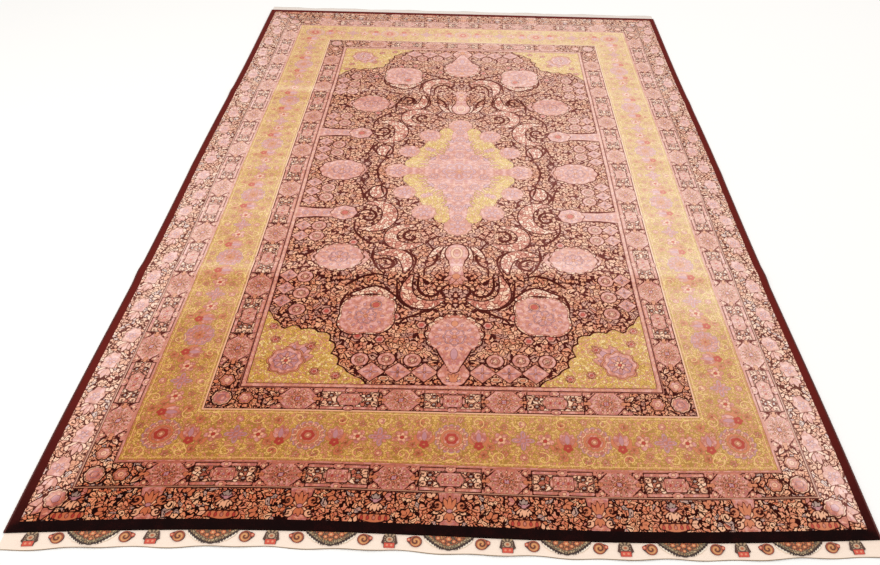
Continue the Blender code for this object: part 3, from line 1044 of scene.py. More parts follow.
# %% [markdown]
# ## Building a zone
#
# A zone is one or more slabs: an even grid on top, walls, and a face below. `create_grid` makes
# the top, its rim is extruded down and filled. Solidify would give walls too, but then the
# underside would be as dense as the top, and nobody sees it. Rim edges are marked sharp, so that
# two zones that meet are shaded as one surface.

# %% Slabs
def slab(bm, x_span, y_span, columns, rows):
    """One slab with its top at height 0 and its underside at -1, until it is laid."""
    wide, long = x_span[1] - x_span[0], y_span[1] - y_span[0]
    place = Matrix.Translation((sum(x_span) / 2, sum(y_span) / 2, 0))
    bmesh.ops.create_grid(
        bm,
        x_segments=columns,
        y_segments=rows,
        size=0.5,
        matrix=place @ Matrix.Diagonal((wide, long, 1, 1)),
    )
    rim = [e for e in bm.edges if e.is_boundary]
    walls = bmesh.ops.extrude_edge_only(bm, edges=rim)["geom"]
    low = [g for g in walls if isinstance(g, bmesh.types.BMVert)]
    bmesh.ops.translate(bm, verts=low, vec=(0, 0, -1))
    low_rim = [e for e in bm.edges if e.is_boundary]
    bmesh.ops.edgeloop_fill(bm, edges=low_rim)
    for edge in rim + low_rim:
        edge.smooth = False


def as_mesh(name, bm):
    mesh = bpy.data.meshes.new(name)
    bm.to_mesh(mesh)
    bm.free()
    return mesh


def put_down(name, mesh, place):
    """Moves a mesh's points to their places, smooths it and puts it in the scene."""
    mesh.vertices.foreach_set("co", place.astype(np.float32).ravel())
    mesh.polygons.foreach_set("use_smooth", np.ones(len(mesh.polygons), bool))
    mesh.update()
    made = bpy.data.objects.new(name, mesh)
    bpy.context.scene.collection.objects.link(made)
    return made


def numbers(data, name, count, width=3, kind=np.float32):
    """A property of all points, corners or faces, as an array."""
    out = np.empty(count * width, kind)
    data.foreach_get(name, out)
    return out.reshape(count, width) if width > 1 else out


def keep(mesh, name, values):
    """Stores three values at each point, for the material to read."""
    layer = mesh.attributes.new(name, "FLOAT_VECTOR", "POINT")
    layer.data.foreach_set("vector", np.ascontiguousarray(values, np.float32).ravel())


# %% [markdown]
# Baking the finished colours to a picture needs a flat map of each zone. A zone that
# runs round the rug would waste nearly all of a square map. So it is cut into strips, and each
# strip fills one row. The undersides, which are plain, share a narrow row at the top.

# %% Maps
def map_strips(mesh, flat, strips):
    """Unroll the zone: each strip of it fills one row of a square map, so none is squeezed."""
    loops, faces = len(mesh.loops), len(mesh.polygons)
    corner = numbers(mesh.loops, "vertex_index", loops, 1, np.int32)
    total = numbers(mesh.polygons, "loop_total", faces, 1, np.int32)
    start = numbers(mesh.polygons, "loop_start", faces, 1, np.int32)
    centre = np.add.reduceat(flat[corner], start) / total[:, None]
    below = np.repeat(centre[:, 2] < -0.9, total)
    centre = np.repeat(centre, total, axis=0)
    place = flat[corner]
    mapped = np.zeros((loops, 2))
    rows = len(strips) + 0.25  # the last quarter of a row is for the undersides
    for row, (x0, x1, y0, y1, along) in enumerate(strips):
        here = (centre[:, 0] >= x0) & (centre[:, 0] <= x1) & (centre[:, 1] >= y0) & (centre[:, 1] <= y1)
        s = (place[:, 0] - x0) / (x1 - x0)
        t = (place[:, 1] - y0) / (y1 - y0)
        if along == "y":
            s, t = t, s
        # a narrow margin keeps one strip's colours out of the next
        mapped[here, 0] = 0.004 + 0.992 * s[here]
        mapped[here, 1] = (row + 0.03 + 0.94 * t[here]) / rows
        under = here & below
        mapped[under, 0] = (row + 0.1 + 0.8 * s[under]) / len(strips)
        mapped[under, 1] = (len(strips) + 0.05 + 0.15 * t[under]) / rows
    layer = mesh.uv_layers.new(name="OFBake")
    layer.uv.foreach_set("vector", mapped.astype(np.float32).ravel())


# %% [markdown]
# Weaving a zone puts all of this together. The slabs are made straight, the design is charted on
# their points and kept as attributes, the map is made, and only then do the points move to where
# the cloth lies. In the other order the bow of the near end would bend the motifs' places.

# %% Weaving a zone
def weave_zone(name, slabs, strips, step, design):
    """A woven piece: step is the grid's step, and a zone with no design stays plain."""
    bm = bmesh.new()
    for x_span, y_span in slabs:
        columns = round((x_span[1] - x_span[0]) / step)
        rows = round((y_span[1] - y_span[0]) / step)
        slab(bm, x_span, y_span, columns, rows)
    bmesh.ops.recalc_face_normals(bm, faces=bm.faces)
    mesh = as_mesh(name, bm)
    count = len(mesh.vertices)
    flat = numbers(mesh.vertices, "co", count).astype(float)
    x, y, under = flat[:, 0], flat[:, 1], flat[:, 2] < -0.5
    chart = Chart(np.abs(x), np.abs(y))
    if design:
        design(chart)
    yarn = chart.store["yarn"]
    for i, part in enumerate(("a", "b", "c")):
        keep(mesh, f"yarn_{part}", yarn[3 * i : 3 * i + 3].T)
    line = [chart.store[word] for word in ("line", "off_line", "line_width")]
    keep(mesh, "thin_line", np.stack(line, 1))
    keep(mesh, "chart", np.stack([np.abs(x), np.abs(y), y], 1))
    map_strips(mesh, flat, strips)
    floor_x, floor_y = laid(x, y)
    height = np.where(under, FLOOR_GAP, lift(x, y) + PILE_THICKNESS)
    made = put_down(name, mesh, np.stack([floor_x, floor_y, height], 1))
    print(f"{name}: {sum(len(p.vertices) - 2 for p in mesh.polygons)} triangles")
    return made


def border_zone(name, outer, inner, step, design=None):
    """A zone that runs all round: outer and inner are distances from the rug's edge."""
    x1 = min(HALF_WIDTH - outer, PILE_HALF_WIDTH)
    y1 = HALF_LENGTH - outer
    x2, y2 = HALF_WIDTH - inner, HALF_LENGTH - inner
    slabs = (
        ((-x2, x2), (-y1, -y2)), ((-x2, x2), (y2, y1)),
        ((-x1, -x2), (-y1, y1)), ((x2, x1), (-y1, y1)),
    )  # fmt: skip
    strips = (
        (-x2, x2, -y1, -y2, "x"), (-x2, x2, y2, y1, "x"),
        (-x1, -x2, -y1, 0, "y"), (-x1, -x2, 0, y1, "y"),
        (x2, x1, -y1, 0, "y"), (x2, x1, 0, y1, "y"),
    )  # fmt: skip
    made = weave_zone(name, slabs, strips, step, design)
    return made


# %% [markdown]
# ## Silk
#
# The material reads the chart. It starts from the ground colour, sows it with small flowers from
# a Voronoi pattern that mirrors as the design does, then lays each yarn where its distance is
# above zero, draws the thin lines, and last adds what every knotted rug has: a change of tone
# from knot to knot, streaks across that stand both for new batches of yarn and for uneven sheen,
# and a soft sheen, painted into the colour as lighter and darker tone.

# %% A helper for building materials
class Dyer:
    """Builds one material, keeping the calls short: put adds a node and links what it is given."""

    def __init__(self, name):
        self.material = bpy.data.materials.new(name)
        self.material.use_nodes = True
        self.tree = self.material.node_tree
        self.shader = self.tree.nodes["Principled BSDF"]

    def put(self, kind, inputs, output=0, **settings):
        node = self.tree.nodes.new(kind)
        for key, value in settings.items():
            setattr(node, key, value)
        for key, value in inputs.items():
            if isinstance(value, bpy.types.NodeSocket):
                self.tree.links.new(value, node.inputs[key])
            else:
                node.inputs[key].default_value = value
        return node.outputs[output]

    def math(self, operation, a, b=0.0, c=0.0):
        values = {0: a, 1: b, 2: c}
        return self.put("ShaderNodeMath", values, operation=operation)

    def noise(self, place, scale, detail, output=0, **settings):
        inputs = {"Vector": place, "Scale": scale, "Detail": detail}
        return self.put("ShaderNodeTexNoise", inputs, output, **settings)

    def cells(self, place, size, output="Color", **settings):
        """A flat Voronoi pattern, with size cells in a metre."""
        inputs = {"Vector": place, "Scale": size}
        return self.put("ShaderNodeTexVoronoi", inputs, output, voronoi_dimensions="2D", **settings)

    def to_edge(self, place, size):
        """Distance from the edge of the cell, as a share of a cell."""
        return self.cells(place, size, "Distance", feature="DISTANCE_TO_EDGE")

    def knots(self, place, step, **settings):
        """A random value for each knot: place is snapped to a grid of that step."""
        snapped = self.put("ShaderNodeVectorMath", {0: place, 1: step}, operation="SNAP")
        return self.put("ShaderNodeTexWhiteNoise", {"Vector": snapped}, **settings)

    def mix(self, share, a, b, blend="MIX"):
        return self.put("ShaderNodeMix", {0: share, 6: a, 7: b}, 2, data_type="RGBA", blend_type=blend)

    def ramp(self, value, low, high, to_low=0.0, to_high=1.0):
        values = {0: value, 1: low, 2: high, 3: to_low, 4: to_high}
        return self.put("ShaderNodeMapRange", values, interpolation_type="SMOOTHSTEP")

    def read(self, name):
        return self.put("ShaderNodeAttribute", {}, "Vector", attribute_name=name)

    def parts(self, vector):
        node = self.tree.nodes.new("ShaderNodeSeparateXYZ")
        self.tree.links.new(vector, node.inputs[0])
        return tuple(node.outputs)

    def close(self, colour, values, height=None, strength=0.0, depth=0.0):
        """Links the colour, sets the shader's plain values, and adds a bump from a height."""
        self.tree.links.new(colour, self.shader.inputs["Base Color"])
        for socket, value in values.items():
            self.shader.inputs[socket].default_value = value
        if height is not None:
            sizes = {"Strength": strength, "Distance": depth, "Height": height}
            bump = self.put("ShaderNodeBump", sizes)
            self.tree.links.new(bump, self.shader.inputs["Normal"])
        return self.material

    def pick(self, value, colours):
        """One of a few colours, by a value from 0 to 1."""
        node = self.tree.nodes.new("ShaderNodeValToRGB")
        node.color_ramp.interpolation = "CONSTANT"
        steps = node.color_ramp.elements
        while len(steps) < len(colours):
            steps.new(0.5)
        for i, colour in enumerate(colours):
            steps[i].position = i / len(colours)
            steps[i].color = colour
        self.tree.links.new(value, node.inputs[0])
        return node.outputs[0]


# %% [markdown]
# Dyes are named by how they look on screen, because that is how one judges a yarn against
# another. The light is worked out in linear values, so `dye` undoes the screen's curve. A picker
# in the shader editor does the same.

# %% The dyes
def dye(code):
    """A colour as it looks on screen, such as c8a040, in the linear values that light uses."""
    parts = [int(code[i : i + 2], 16) / 255 for i in (0, 2, 4)]
    return (*(p / 12.92 if p < 0.04045 else ((p + 0.055) / 1.055) ** 2.4 for p in parts), 1.0)


COLOURS = {
    "rose": dye("b6604a"), "cream": dye("dc9a76"), "salmon": dye("ba6442"),
    "gold": dye("c48638"), "slate": dye("927468"), "red": dye("a0342a"),
    "dark": dye("200201"), "lilac": dye("ac7072"), "florets": dye("c07a5e"),
}  # fmt: skip
LINE = dye("c98a68")
print("rose in linear light:", [round(part, 3) for part in COLOURS["rose"][:3]])

# %% [markdown]
# Between the motifs the ground is full of curled leaves and florets a few millimetres wide. There
# are tens of thousands of them, far too many for the grid. A Voronoi pattern divides the ground
# into cells, and each cell gets a curl or a floret at its own turn and in its own colour. A
# little noise bends the cells, so that they don't look like a mosaic.

# %% Small growth on the ground
def small_growth(d, place, size, colours, bare):
    """How much growth there is, its colour, and the bent place: bare is the share left out."""
    bend = d.noise(place, size * 0.5, 1.0, "Color", noise_dimensions="2D")
    bend = d.put("ShaderNodeVectorMath", {0: bend, 1: (0.5, 0.5, 0.5)}, operation="SUBTRACT")
    bend = d.put("ShaderNodeVectorMath", {0: bend, "Scale": 1.5 / size}, operation="SCALE")
    bent = d.put("ShaderNodeVectorMath", {0: place, 1: bend}, operation="ADD")
    to_edge = d.to_edge(bent, size)
    seed = d.cells(bent, size, "Position")
    a, b, c = d.parts(d.cells(bent, size))
    from_seed = d.put("ShaderNodeVectorMath", {0: bent, 1: seed}, operation="SUBTRACT")
    u, v, _ = d.parts(d.put("ShaderNodeVectorMath", {0: from_seed, "Scale": size}, operation="SCALE"))
    away = d.math("SQRT", d.math("ADD", d.math("MULTIPLY", u, u), d.math("MULTIPLY", v, v)))
    angle = d.math("ADD", d.math("ARCTAN2", v, u), d.math("MULTIPLY", b, 40.0))
    # a curl winds out from the middle, one way or the other
    hand = d.math("MULTIPLY_ADD", d.math("GREATER_THAN", c, 0.5), 20.0, -10.0)
    curl = d.math("SINE", d.math("ADD", angle, d.math("MULTIPLY", away, hand)))
    curl = d.ramp(curl, -0.80, -0.34)
    # a floret has five petals
    edge = d.math("MULTIPLY_ADD", d.math("COSINE", d.math("MULTIPLY", angle, 5)), 0.14, 0.42)
    floret = d.ramp(d.math("SUBTRACT", edge, away), -0.03, 0.05)
    is_floret = d.math("GREATER_THAN", a, 0.55)
    much = d.math("ADD", d.math("MULTIPLY", floret, is_floret),
                  d.math("MULTIPLY", curl, d.math("SUBTRACT", 1.0, is_floret)))  # fmt: skip
    much = d.math("MULTIPLY", much, d.ramp(to_edge, 0.035, 0.095))
    much = d.math("MULTIPLY", much, d.math("GREATER_THAN", b, bare))
    colour = d.pick(c, colours)
    vein = d.math("MULTIPLY", d.ramp(to_edge, 0.20, 0.30), 0.35)
    colour = d.mix(vein, colour, COLOURS["cream"])
    eye = d.math("MULTIPLY", d.ramp(away, 0.12, 0.07), is_floret)
    return much, d.mix(eye, colour, COLOURS["red"]), bent


# %% [markdown]
# A broad shape in one yarn isn't flat either: the weaver shades it with close dyes. A finer cell
# pattern deals those out, with a thin line of a darker one between the cells. An image could hold
# this too, but a pattern stays sharp at any distance.

# %% Shades within one yarn
def speckle(d, bent, size, colours, gap, wide=0.03):
    """Fine patches in a few close shades: wide is the line between them, as a share of a patch."""
    shades = d.pick(d.parts(d.cells(bent, size))[0], colours)
    return d.mix(d.ramp(d.to_edge(bent, size), wide, wide + 0.10), gap, shades)


GOLDS = tuple(dye(c) for c in ("ca9038", "dcaa5a", "a87230", "c87a50", "cc9640", "bc6c54",
                               "e2b870", "b88636", "c47e5e"))  # fmt: skip
ROSES = tuple(dye(c) for c in ("b26252", "c4725a", "a85854", "be6a50", "ac5e4a", "ce866c",
                               "b46c64"))  # fmt: skip
CREAMS = tuple(dye(c) for c in ("d99a7a", "c8806a", "e0aa8a", "bc6c54", "d0907a"))
PETALS = tuple(dye(c) for c in ("e4ae8a", "b25a44", "dca07c", "c47258", "e8b896", "a8503c"))
print(len(GOLDS), "golds,", len(ROSES), "roses,", len(CREAMS), "creams and", len(PETALS), "petals")

# %% [markdown]
# Now the layers go over each other, in the order in which an eye takes them in: the ground, the
# growth where no yarn is near, each yarn with its shades, a dark outline round the light yarns,
# and the thin lines. A fine noise is added to each distance before it is cut, because the edge
# of a shape in knots is never quite clean.

# %% The silk of one zone
FIELD_PAINTED_SHEEN = (1.03, 0.0, 0.05)
FLORETS_GROUND = dye("621f16")


def silk(name, ground, sown, size, bare=0.0, line=LINE, florets_ground=FLORETS_GROUND,
         painted_sheen=FIELD_PAINTED_SHEEN, outline=0.8):  # fmt: skip
    """The finish of a zone.

    ground is its own colour and sown the colours of the small growth on it. size is the growth's
    cells in a metre, and bare the share of cells without any. outline is the strength of the dark
    line round light yarns. painted_sheen is the painted light of the sheen: its gain along the
    rug, what the long sides get on top, and what is there at the near end.
    """
    d = Dyer(name)
    mirrored_x, mirrored_y, _ = d.parts(d.read("chart"))
    place = d.put("ShaderNodeCombineXYZ", {0: mirrored_x, 1: mirrored_y})
    raw_growth, growth_colour, bent = small_growth(d, place, size, sown, bare)
    yarns = [part for word in "abc" for part in d.parts(d.read(f"yarn_{word}"))]
    fuzz = d.noise(place, 560.0, 1.0, noise_dimensions="2D")
    fuzz = d.math("MULTIPLY", d.math("SUBTRACT", fuzz, 0.5), 2.2)
    closest = yarns[0]
    for part in yarns[1:]:
        closest = d.math("MAXIMUM", closest, part)
    growth = d.math("MULTIPLY", raw_growth, d.ramp(closest, -1.0, -1.9))
    colour = d.mix(growth, ground, growth_colour)
    mottle = d.noise(place, 62.0, 2.0, noise_dimensions="2D")
    rose = speckle(d, bent, 150.0, ROSES, dye("a05a4c"))
    rose = d.mix(d.math("MULTIPLY", d.ramp(mottle, 0.50, 0.68), 0.55), rose, dye("d8968c"))
    rose = d.mix(d.math("MULTIPLY", d.ramp(mottle, 0.46, 0.32), 0.45), rose, dye("8e3a2e"))
    shades = {
        "gold": speckle(d, bent, 190.0, GOLDS, dye("7e5022")),
        "rose": rose,
        "cream": speckle(d, bent, 150.0, CREAMS, dye("a05c48"), 0.02),
        "florets": speckle(d, bent, 84.0, PETALS, florets_ground, 0.07),
    }
    deep = {"gold": 0.0, "rose": 0.5, "cream": 2.5, "florets": -0.4}
    for yarn, distance in zip(YARNS, yarns):
        here = d.ramp(d.math("ADD", distance, fuzz), -0.35, 0.35)
        shade = COLOURS[yarn]
        if yarn in shades:
            inner = d.ramp(distance, deep[yarn], deep[yarn] + 1.0)
            shade = d.mix(inner, shade, shades[yarn])
        colour = d.mix(here, colour, shade)
    # a dark outline round every light yarn
    for yarn, share in (("rose", 0.55), ("cream", 0.75), ("salmon", 0.7), ("lilac", 0.25), ("gold", 0.6)):
        away = d.math("ABSOLUTE", d.math("ADD", yarns[YARNS.index(yarn)], 0.3))
        here = d.math("MULTIPLY", d.ramp(away, 0.95, 0.45), share * outline)
        colour = d.mix(here, colour, dye("3c0e0a"))
    # thin lines
    signed, away, wide = d.parts(d.read("thin_line"))
    on_line = d.math("SUBTRACT", wide, d.math("ABSOLUTE", d.math("ADD", signed, fuzz)))
    on_line = d.math("MULTIPLY", d.ramp(on_line, -0.3, 0.3), d.ramp(away, 4.0, 3.0))
    colour = d.mix(on_line, colour, line)
    return finish_silk(d, colour, place, painted_sheen)


# %% [markdown]
# Silk pile leans one way, so it looks deep from one end and pale from the other, and a crease
# shows as a pale and a dark band side by side. Real sheen would change with the camera, which a
# baked colour can't do. So this sheen is painted light in the colour: a value that grows along
# the rug and to the right, is higher on the long sides, and gives each crease a painted highlight
# and a painted shade, lifts the dark tones more than the pale ones, by a gamma.

# %% Painted sheen, knots and streaks
PAINTED_LIGHT_ACROSS = 0.34  # painted light: how much lighter the rug is painted for each metre to the right, as if lit from there
CREASE_GLINT = 55.0  # painted highlight and shade: how much lighter one slope of a crease is and darker the other, for each metre of its height
CREASE_REACH = 0.075  # how far from its middle
KNOT = 0.0013


def nap_light(d, place, painted_sheen):
    """How much painted light the sheen adds, about 0 at the near end and 1 at the far one."""
    x, y, _ = d.parts(d.put("ShaderNodeTexCoord", {}, "Object"))
    # painted sheen: lighter towards the far end
    light = d.math("MULTIPLY", d.ramp(y, -1.6, -0.15), painted_sheen[0])
    # painted light, lighter towards the right
    light = d.math("MULTIPLY_ADD", x, PAINTED_LIGHT_ACROSS, d.math("ADD", light, painted_sheen[2]))
    # each crease gets a painted highlight on one side of its ridge and a painted shade on the other
    for centre, rise, _, skew, _ in CREASES:
        slope = d.math("SUBTRACT", d.math("MULTIPLY_ADD", x, -skew, y), centre)
        slope = d.math("DIVIDE", slope, CREASE_REACH)
        slope = d.math("MAXIMUM", d.math("MINIMUM", slope, 1.0), -1.0)
        slope = d.math("SINE", d.math("MULTIPLY", slope, math.pi))
        light = d.math("MULTIPLY_ADD", slope, rise * CREASE_GLINT, light)
    mirrored_x, mirrored_y, _ = d.parts(place)
    # painted sheen: the long sides painted lighter, by as much as the zone asks
    on_side = d.math("SUBTRACT", d.math("ADD", mirrored_x, HALF_LENGTH - HALF_WIDTH), mirrored_y)
    on_side = d.math("MULTIPLY", d.ramp(on_side, -0.02, 0.02), painted_sheen[1])
    light = d.math("ADD", light, on_side)
    return d.math("MINIMUM", d.math("MAXIMUM", light, -0.05), 1.2), y


def finish_silk(d, colour, place, painted_sheen):
    """Knots, streaks and painted sheen over the drawing."""
    light, along = nap_light(d, place, painted_sheen)
    knot = d.knots(place, (KNOT, KNOT, 1.0), noise_dimensions="2D")
    streak_at = d.put("ShaderNodeCombineXYZ", {0: d.math("MULTIPLY", d.parts(place)[0], 0.35), 1: along})
    streak = d.put("ShaderNodeTexNoise", {"Vector": streak_at, "Scale": 13.0, "Detail": 4.0,
                                          "Roughness": 0.6}, 0, noise_dimensions="2D")  # fmt: skip
    patch = d.noise(streak_at, 4.0, 2.0)
    # streaks across and broad patches go into the painted light: they stand both for batches of yarn and for
    # uneven sheen
    light = d.math("ADD", light, d.math("MULTIPLY_ADD", streak, 0.36, -0.18))
    light = d.math("ADD", light, d.math("MULTIPLY_ADD", patch, 0.3, -0.15))
    # the painted light lifts the dark tones by a gamma and brightens all a little: painted sheen
    colour = d.put("ShaderNodeGamma", {0: colour, 1: d.math("MULTIPLY_ADD", light, -0.48, 1.0)})
    tone = d.math("MULTIPLY_ADD", light, 0.12, 1.0)
    tone = d.math("MULTIPLY", tone, d.math("MULTIPLY_ADD", knot, 0.22, 0.89))
    tones = d.put("ShaderNodeCombineColor", {0: tone, 1: tone, 2: tone})
    colour = d.mix(1.0, colour, tones, "MULTIPLY")
    plain = {"Roughness": 0.7, "Specular IOR Level": 0.03, "Sheen Weight": 0.012,
             "Sheen Roughness": 0.4, "Sheen Tint": (1.0, 0.80, 0.72, 1.0)}  # fmt: skip
    return d.close(colour, plain, knot, strength=0.25, depth=0.0006)


print("knots are", 1000 * KNOT, "mm apart")

# %% [markdown]
# The guard is the plain outermost strip of pile. It has no drawing, so it needs none of the
# layers above, only knots, some wear and a painted sheen that turns it from black at the near end to wine
# red.

# %% The guard's own silk
def guard_silk():
    """Plain dark pile with painted sheen: black at the near end, wine red along the sides and at the far end.
    """
    d = Dyer("guard_silk")
    mirrored_x, mirrored_y, y = d.parts(d.read("chart"))
    place = d.put("ShaderNodeCombineXYZ", {0: mirrored_x, 1: mirrored_y})
    on_side = d.math("SUBTRACT", d.math("ADD", mirrored_x, HALF_LENGTH - HALF_WIDTH), mirrored_y)
    # painted sheen: lighter along the long sides away from the near end, and at the far end
    light = d.math("MULTIPLY", d.ramp(on_side, -0.01, 0.02), d.ramp(y, -1.75, -0.9))
    light = d.math("MAXIMUM", light, d.ramp(y, 1.2, 1.4))
    knot = d.knots(place, (0.0014, 0.0014, 1.0), noise_dimensions="2D")
    wear = d.noise(place, 30.0, 3.0)
    light = d.math("ADD", light, d.math("MULTIPLY_ADD", knot, 0.12, -0.06))
    light = d.math("ADD", light, d.math("MULTIPLY_ADD", wear, 0.3, -0.15))
    colour = d.mix(light, dye("110303"), dye("661e18"))
    plain = {"Roughness": 0.8, "Specular IOR Level": 0.05}
    return d.close(colour, plain, knot, strength=0.3, depth=0.0006)


# %% [markdown]
# ## Weaving the zones
#
# The grid's step is chosen zone by zone: finer where the motifs are small, coarse on the plain
# guard. The field is woven in two halves to keep each piece light, and both share one silk. The
# seam between them lies on the middle line, where the design mirrors.

# %% The field
FIELD_SOWN = tuple(dye(c) for c in ("d4835a", "c2623e", "be6a4e", "b2563a", "c8724a", "9e5e4e",
                                    "dc8e66"))  # fmt: skip
half_x, half_y = HALF_WIDTH - INNER_BAND, HALF_LENGTH - INNER_BAND
field_silk = silk("field_silk", dye("240302"), FIELD_SOWN, 62.0)


def dress(piece, material):
    piece.data.materials.append(material)


field = []
for word, low, high in (("left", -half_x, 0.0), ("right", 0.0, half_x)):
    slabs = (((low, high), (-half_y, half_y)),)
    strips = ((low, high, -half_y, 0, "y"), (low, high, 0, half_y, "y"))
    half = weave_zone(f"field_{word}", slabs, strips, step=0.0038, design=design_field)
    dress(half, field_silk)
    field.append(half)

# %% [markdown]
# The bands and borders follow, from the inside out. Each is woven once all round, so that no seam
# shows at the corners of its design. They differ in their ground, in the colours sown on it and
# in their painted sheen: the long sides are painted paler towards the rug's edge.

# %% The bands and borders
BORDER_SOWN = tuple(dye(c) for c in ("dc8a62", "c4623e", "c26848", "ce7a54", "9c7a70", "c06448",
                                     "e2a27a"))  # fmt: skip
GOLD_SOWN = tuple(dye(c) for c in ("d09a42", "c46e56", "b47c34", "dcaa5a", "ca845a", "c46c56"))
PANEL_GROUND = dye("260503")


inner_band = border_zone("inner_band", GOLD_BORDER, INNER_BAND, 0.0034, design_inner_band)
dress(inner_band, silk("inner_band_silk", dye("200302"), FIELD_SOWN, 82.0, outline=0.5,
                       florets_ground=PANEL_GROUND, painted_sheen=(1.0, 0.0, 0.10)))  # fmt: skip
gold_border = border_zone("gold_border", OUTER_BAND, GOLD_BORDER, 0.0041, design_gold_border)
dress(gold_border, silk("gold_silk", dye("9a6a30"), GOLD_SOWN, 150.0, bare=0.05, outline=0.25,
                        line=dye("dcaa62"), painted_sheen=(1.08, 0.0, 0.09)))  # fmt: skip
outer_band = border_zone("outer_band", OUTER_BORDER, OUTER_BAND, 0.0034, design_outer_band)
dress(outer_band, silk("outer_band_silk", dye("200302"), BORDER_SOWN, 82.0, outline=0.5,
                       florets_ground=PANEL_GROUND, painted_sheen=(1.0, 0.40, 0.22)))  # fmt: skip
outer_border = border_zone("outer_border", GUARD, OUTER_BORDER, 0.0035, design_outer_border)
dress(outer_border, silk("outer_border_silk", dye("1a0201"), BORDER_SOWN, 80.0,
                         painted_sheen=(1.0, 1.0, 0.14)))  # fmt: skip
guard = border_zone("guard", 0.0, GUARD, 0.009)
dress(guard, guard_silk())

pile_zones = [*field, inner_band, gold_border, outer_band, outer_border, guard]
for zone in pile_zones:
    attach(zone, "root")
    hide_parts("pile")

# %% [markdown]
# ## The overcast sides
#
# Each long side is bound with yarn wrapped over a cord. A plain tube would look like plastic, so
# the tube gets many rings, and each ring's radius swells and shrinks as the wraps do. A curve
# with a bevel would be quicker, but its radius can't follow a wrap that winds round.

# %% The cords
WRAP_PITCH = 0.0095
RINGS_A_WRAP = 3
WRAP_SWELL = 0.07  # share of the radius


def overcast_side(name, side):
    """One cord: a closed cylinder, cut into rings, swollen by its wraps and laid in place."""
    rings = round(RUG_LENGTH / WRAP_PITCH) * RINGS_A_WRAP
    bm = bmesh.new()
    bmesh.ops.create_cone(bm, cap_ends=True, segments=8, radius1=1, radius2=1, depth=2)
    long_edges = [e for e in bm.edges if abs(e.verts[0].co.z - e.verts[1].co.z) > 1]
    bmesh.ops.subdivide_edges(bm, edges=long_edges, cuts=rings - 1, use_grid_fill=True)
    mesh = as_mesh(name, bm)
    flat = numbers(mesh.vertices, "co", len(mesh.vertices)).astype(float)
    y = flat[:, 2] * HALF_LENGTH
    angle = np.arctan2(flat[:, 1], flat[:, 0])
    wraps = np.cos(np.pi * 2 * y / WRAP_PITCH + angle)
    radius = CORD_RADIUS * (1 - WRAP_SWELL + WRAP_SWELL * wraps)
    x = np.full(len(y), side * (HALF_WIDTH - CORD_RADIUS))
    floor_x, floor_y = laid(x, y)
    place = np.stack([
        floor_x + radius * np.cos(angle),
        floor_y,
        lift(x, y) + CORD_RADIUS + radius * np.sin(angle),
    ], 1)  # fmt: skip
    keep(mesh, "chart", np.stack([angle, y, y], 1))
    made = put_down(name, mesh, place)
    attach(made, "root")
    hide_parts(name)
    return made


# %% [markdown]
# The yarn on the cord is finer than its wraps. A sine of the place along the cord, plus the angle
# round it, draws threads that wind, and the same value drives a bump. It is worn paler in places,
# and painted paler towards the far end, as a painted sheen.

# %% The yarn of the cords
THREAD_PITCH = 0.0016


def overcast_yarn():
    d = Dyer("overcast_yarn")
    angle, along, _ = d.parts(d.read("chart"))
    wrap = d.math("ADD", d.math("MULTIPLY", along, TURN / THREAD_PITCH), angle)
    wrap = d.math("MULTIPLY_ADD", d.math("SINE", wrap), 0.5, 0.5)
    wear = d.noise(d.read("chart"), 26.0, 3.0)
    colour = d.mix(wrap, dye("2a0b09"), dye("5c211b"))
    colour = d.mix(d.math("MULTIPLY", wear, 0.5), colour, dye("7a3a30"))
    # painted sheen: the cord lighter towards the far end
    painted_sheen = d.ramp(along, -HALF_LENGTH, HALF_LENGTH, 0.0, 0.3)
    colour = d.mix(painted_sheen, colour, dye("a0584c"))
    return d.close(colour, {"Roughness": 0.8}, wrap, strength=0.5, depth=0.0004)


side_yarn = overcast_yarn()
for word, side in (("left", -1), ("right", 1)):
    dress(overcast_side(f"overcast_side_{word}", side), side_yarn)
print("overcast sides made")

# %% [markdown]
# ## The woven ends
#
# Beyond the pile the foundation goes on as a narrow strip of plain weave. It is thin and loose,
# so its outer edge wavers and lifts. A cloth simulation could do that, but not the same way each
# time. So the same slab is used, with more rows towards the loose edge, and a few sines bend it.

# %% The flat-woven strips
END_GAP = 0.0006  # between the bowed end of the pile and the strip
SKIRT_DEPTH, SKIRT_THICKNESS, SKIRT_INSET = 0.041, 0.0018, 0.004
SKIRT_COLUMNS, SKIRT_ROWS = 400, 16
RIPPLES = (
    # amplitude and wavelength of the loose edge, and phase
    (0.0017, 0.149, 0.4),
    (0.0014, 0.317, 1.9),
)
LIP_START, LIP_RISE = 0.87, 0.0016  # share of the depth where the edge lifts, and how far
FLUTTER_RISE, FLUTTER_PITCH = 0.0005, 0.057


def skirt_edge(x):
    """How far the loose edge strays from the strip's depth."""
    return sum(size * np.sin(np.pi * 2 * x / pitch + phase) for size, pitch, phase in RIPPLES)


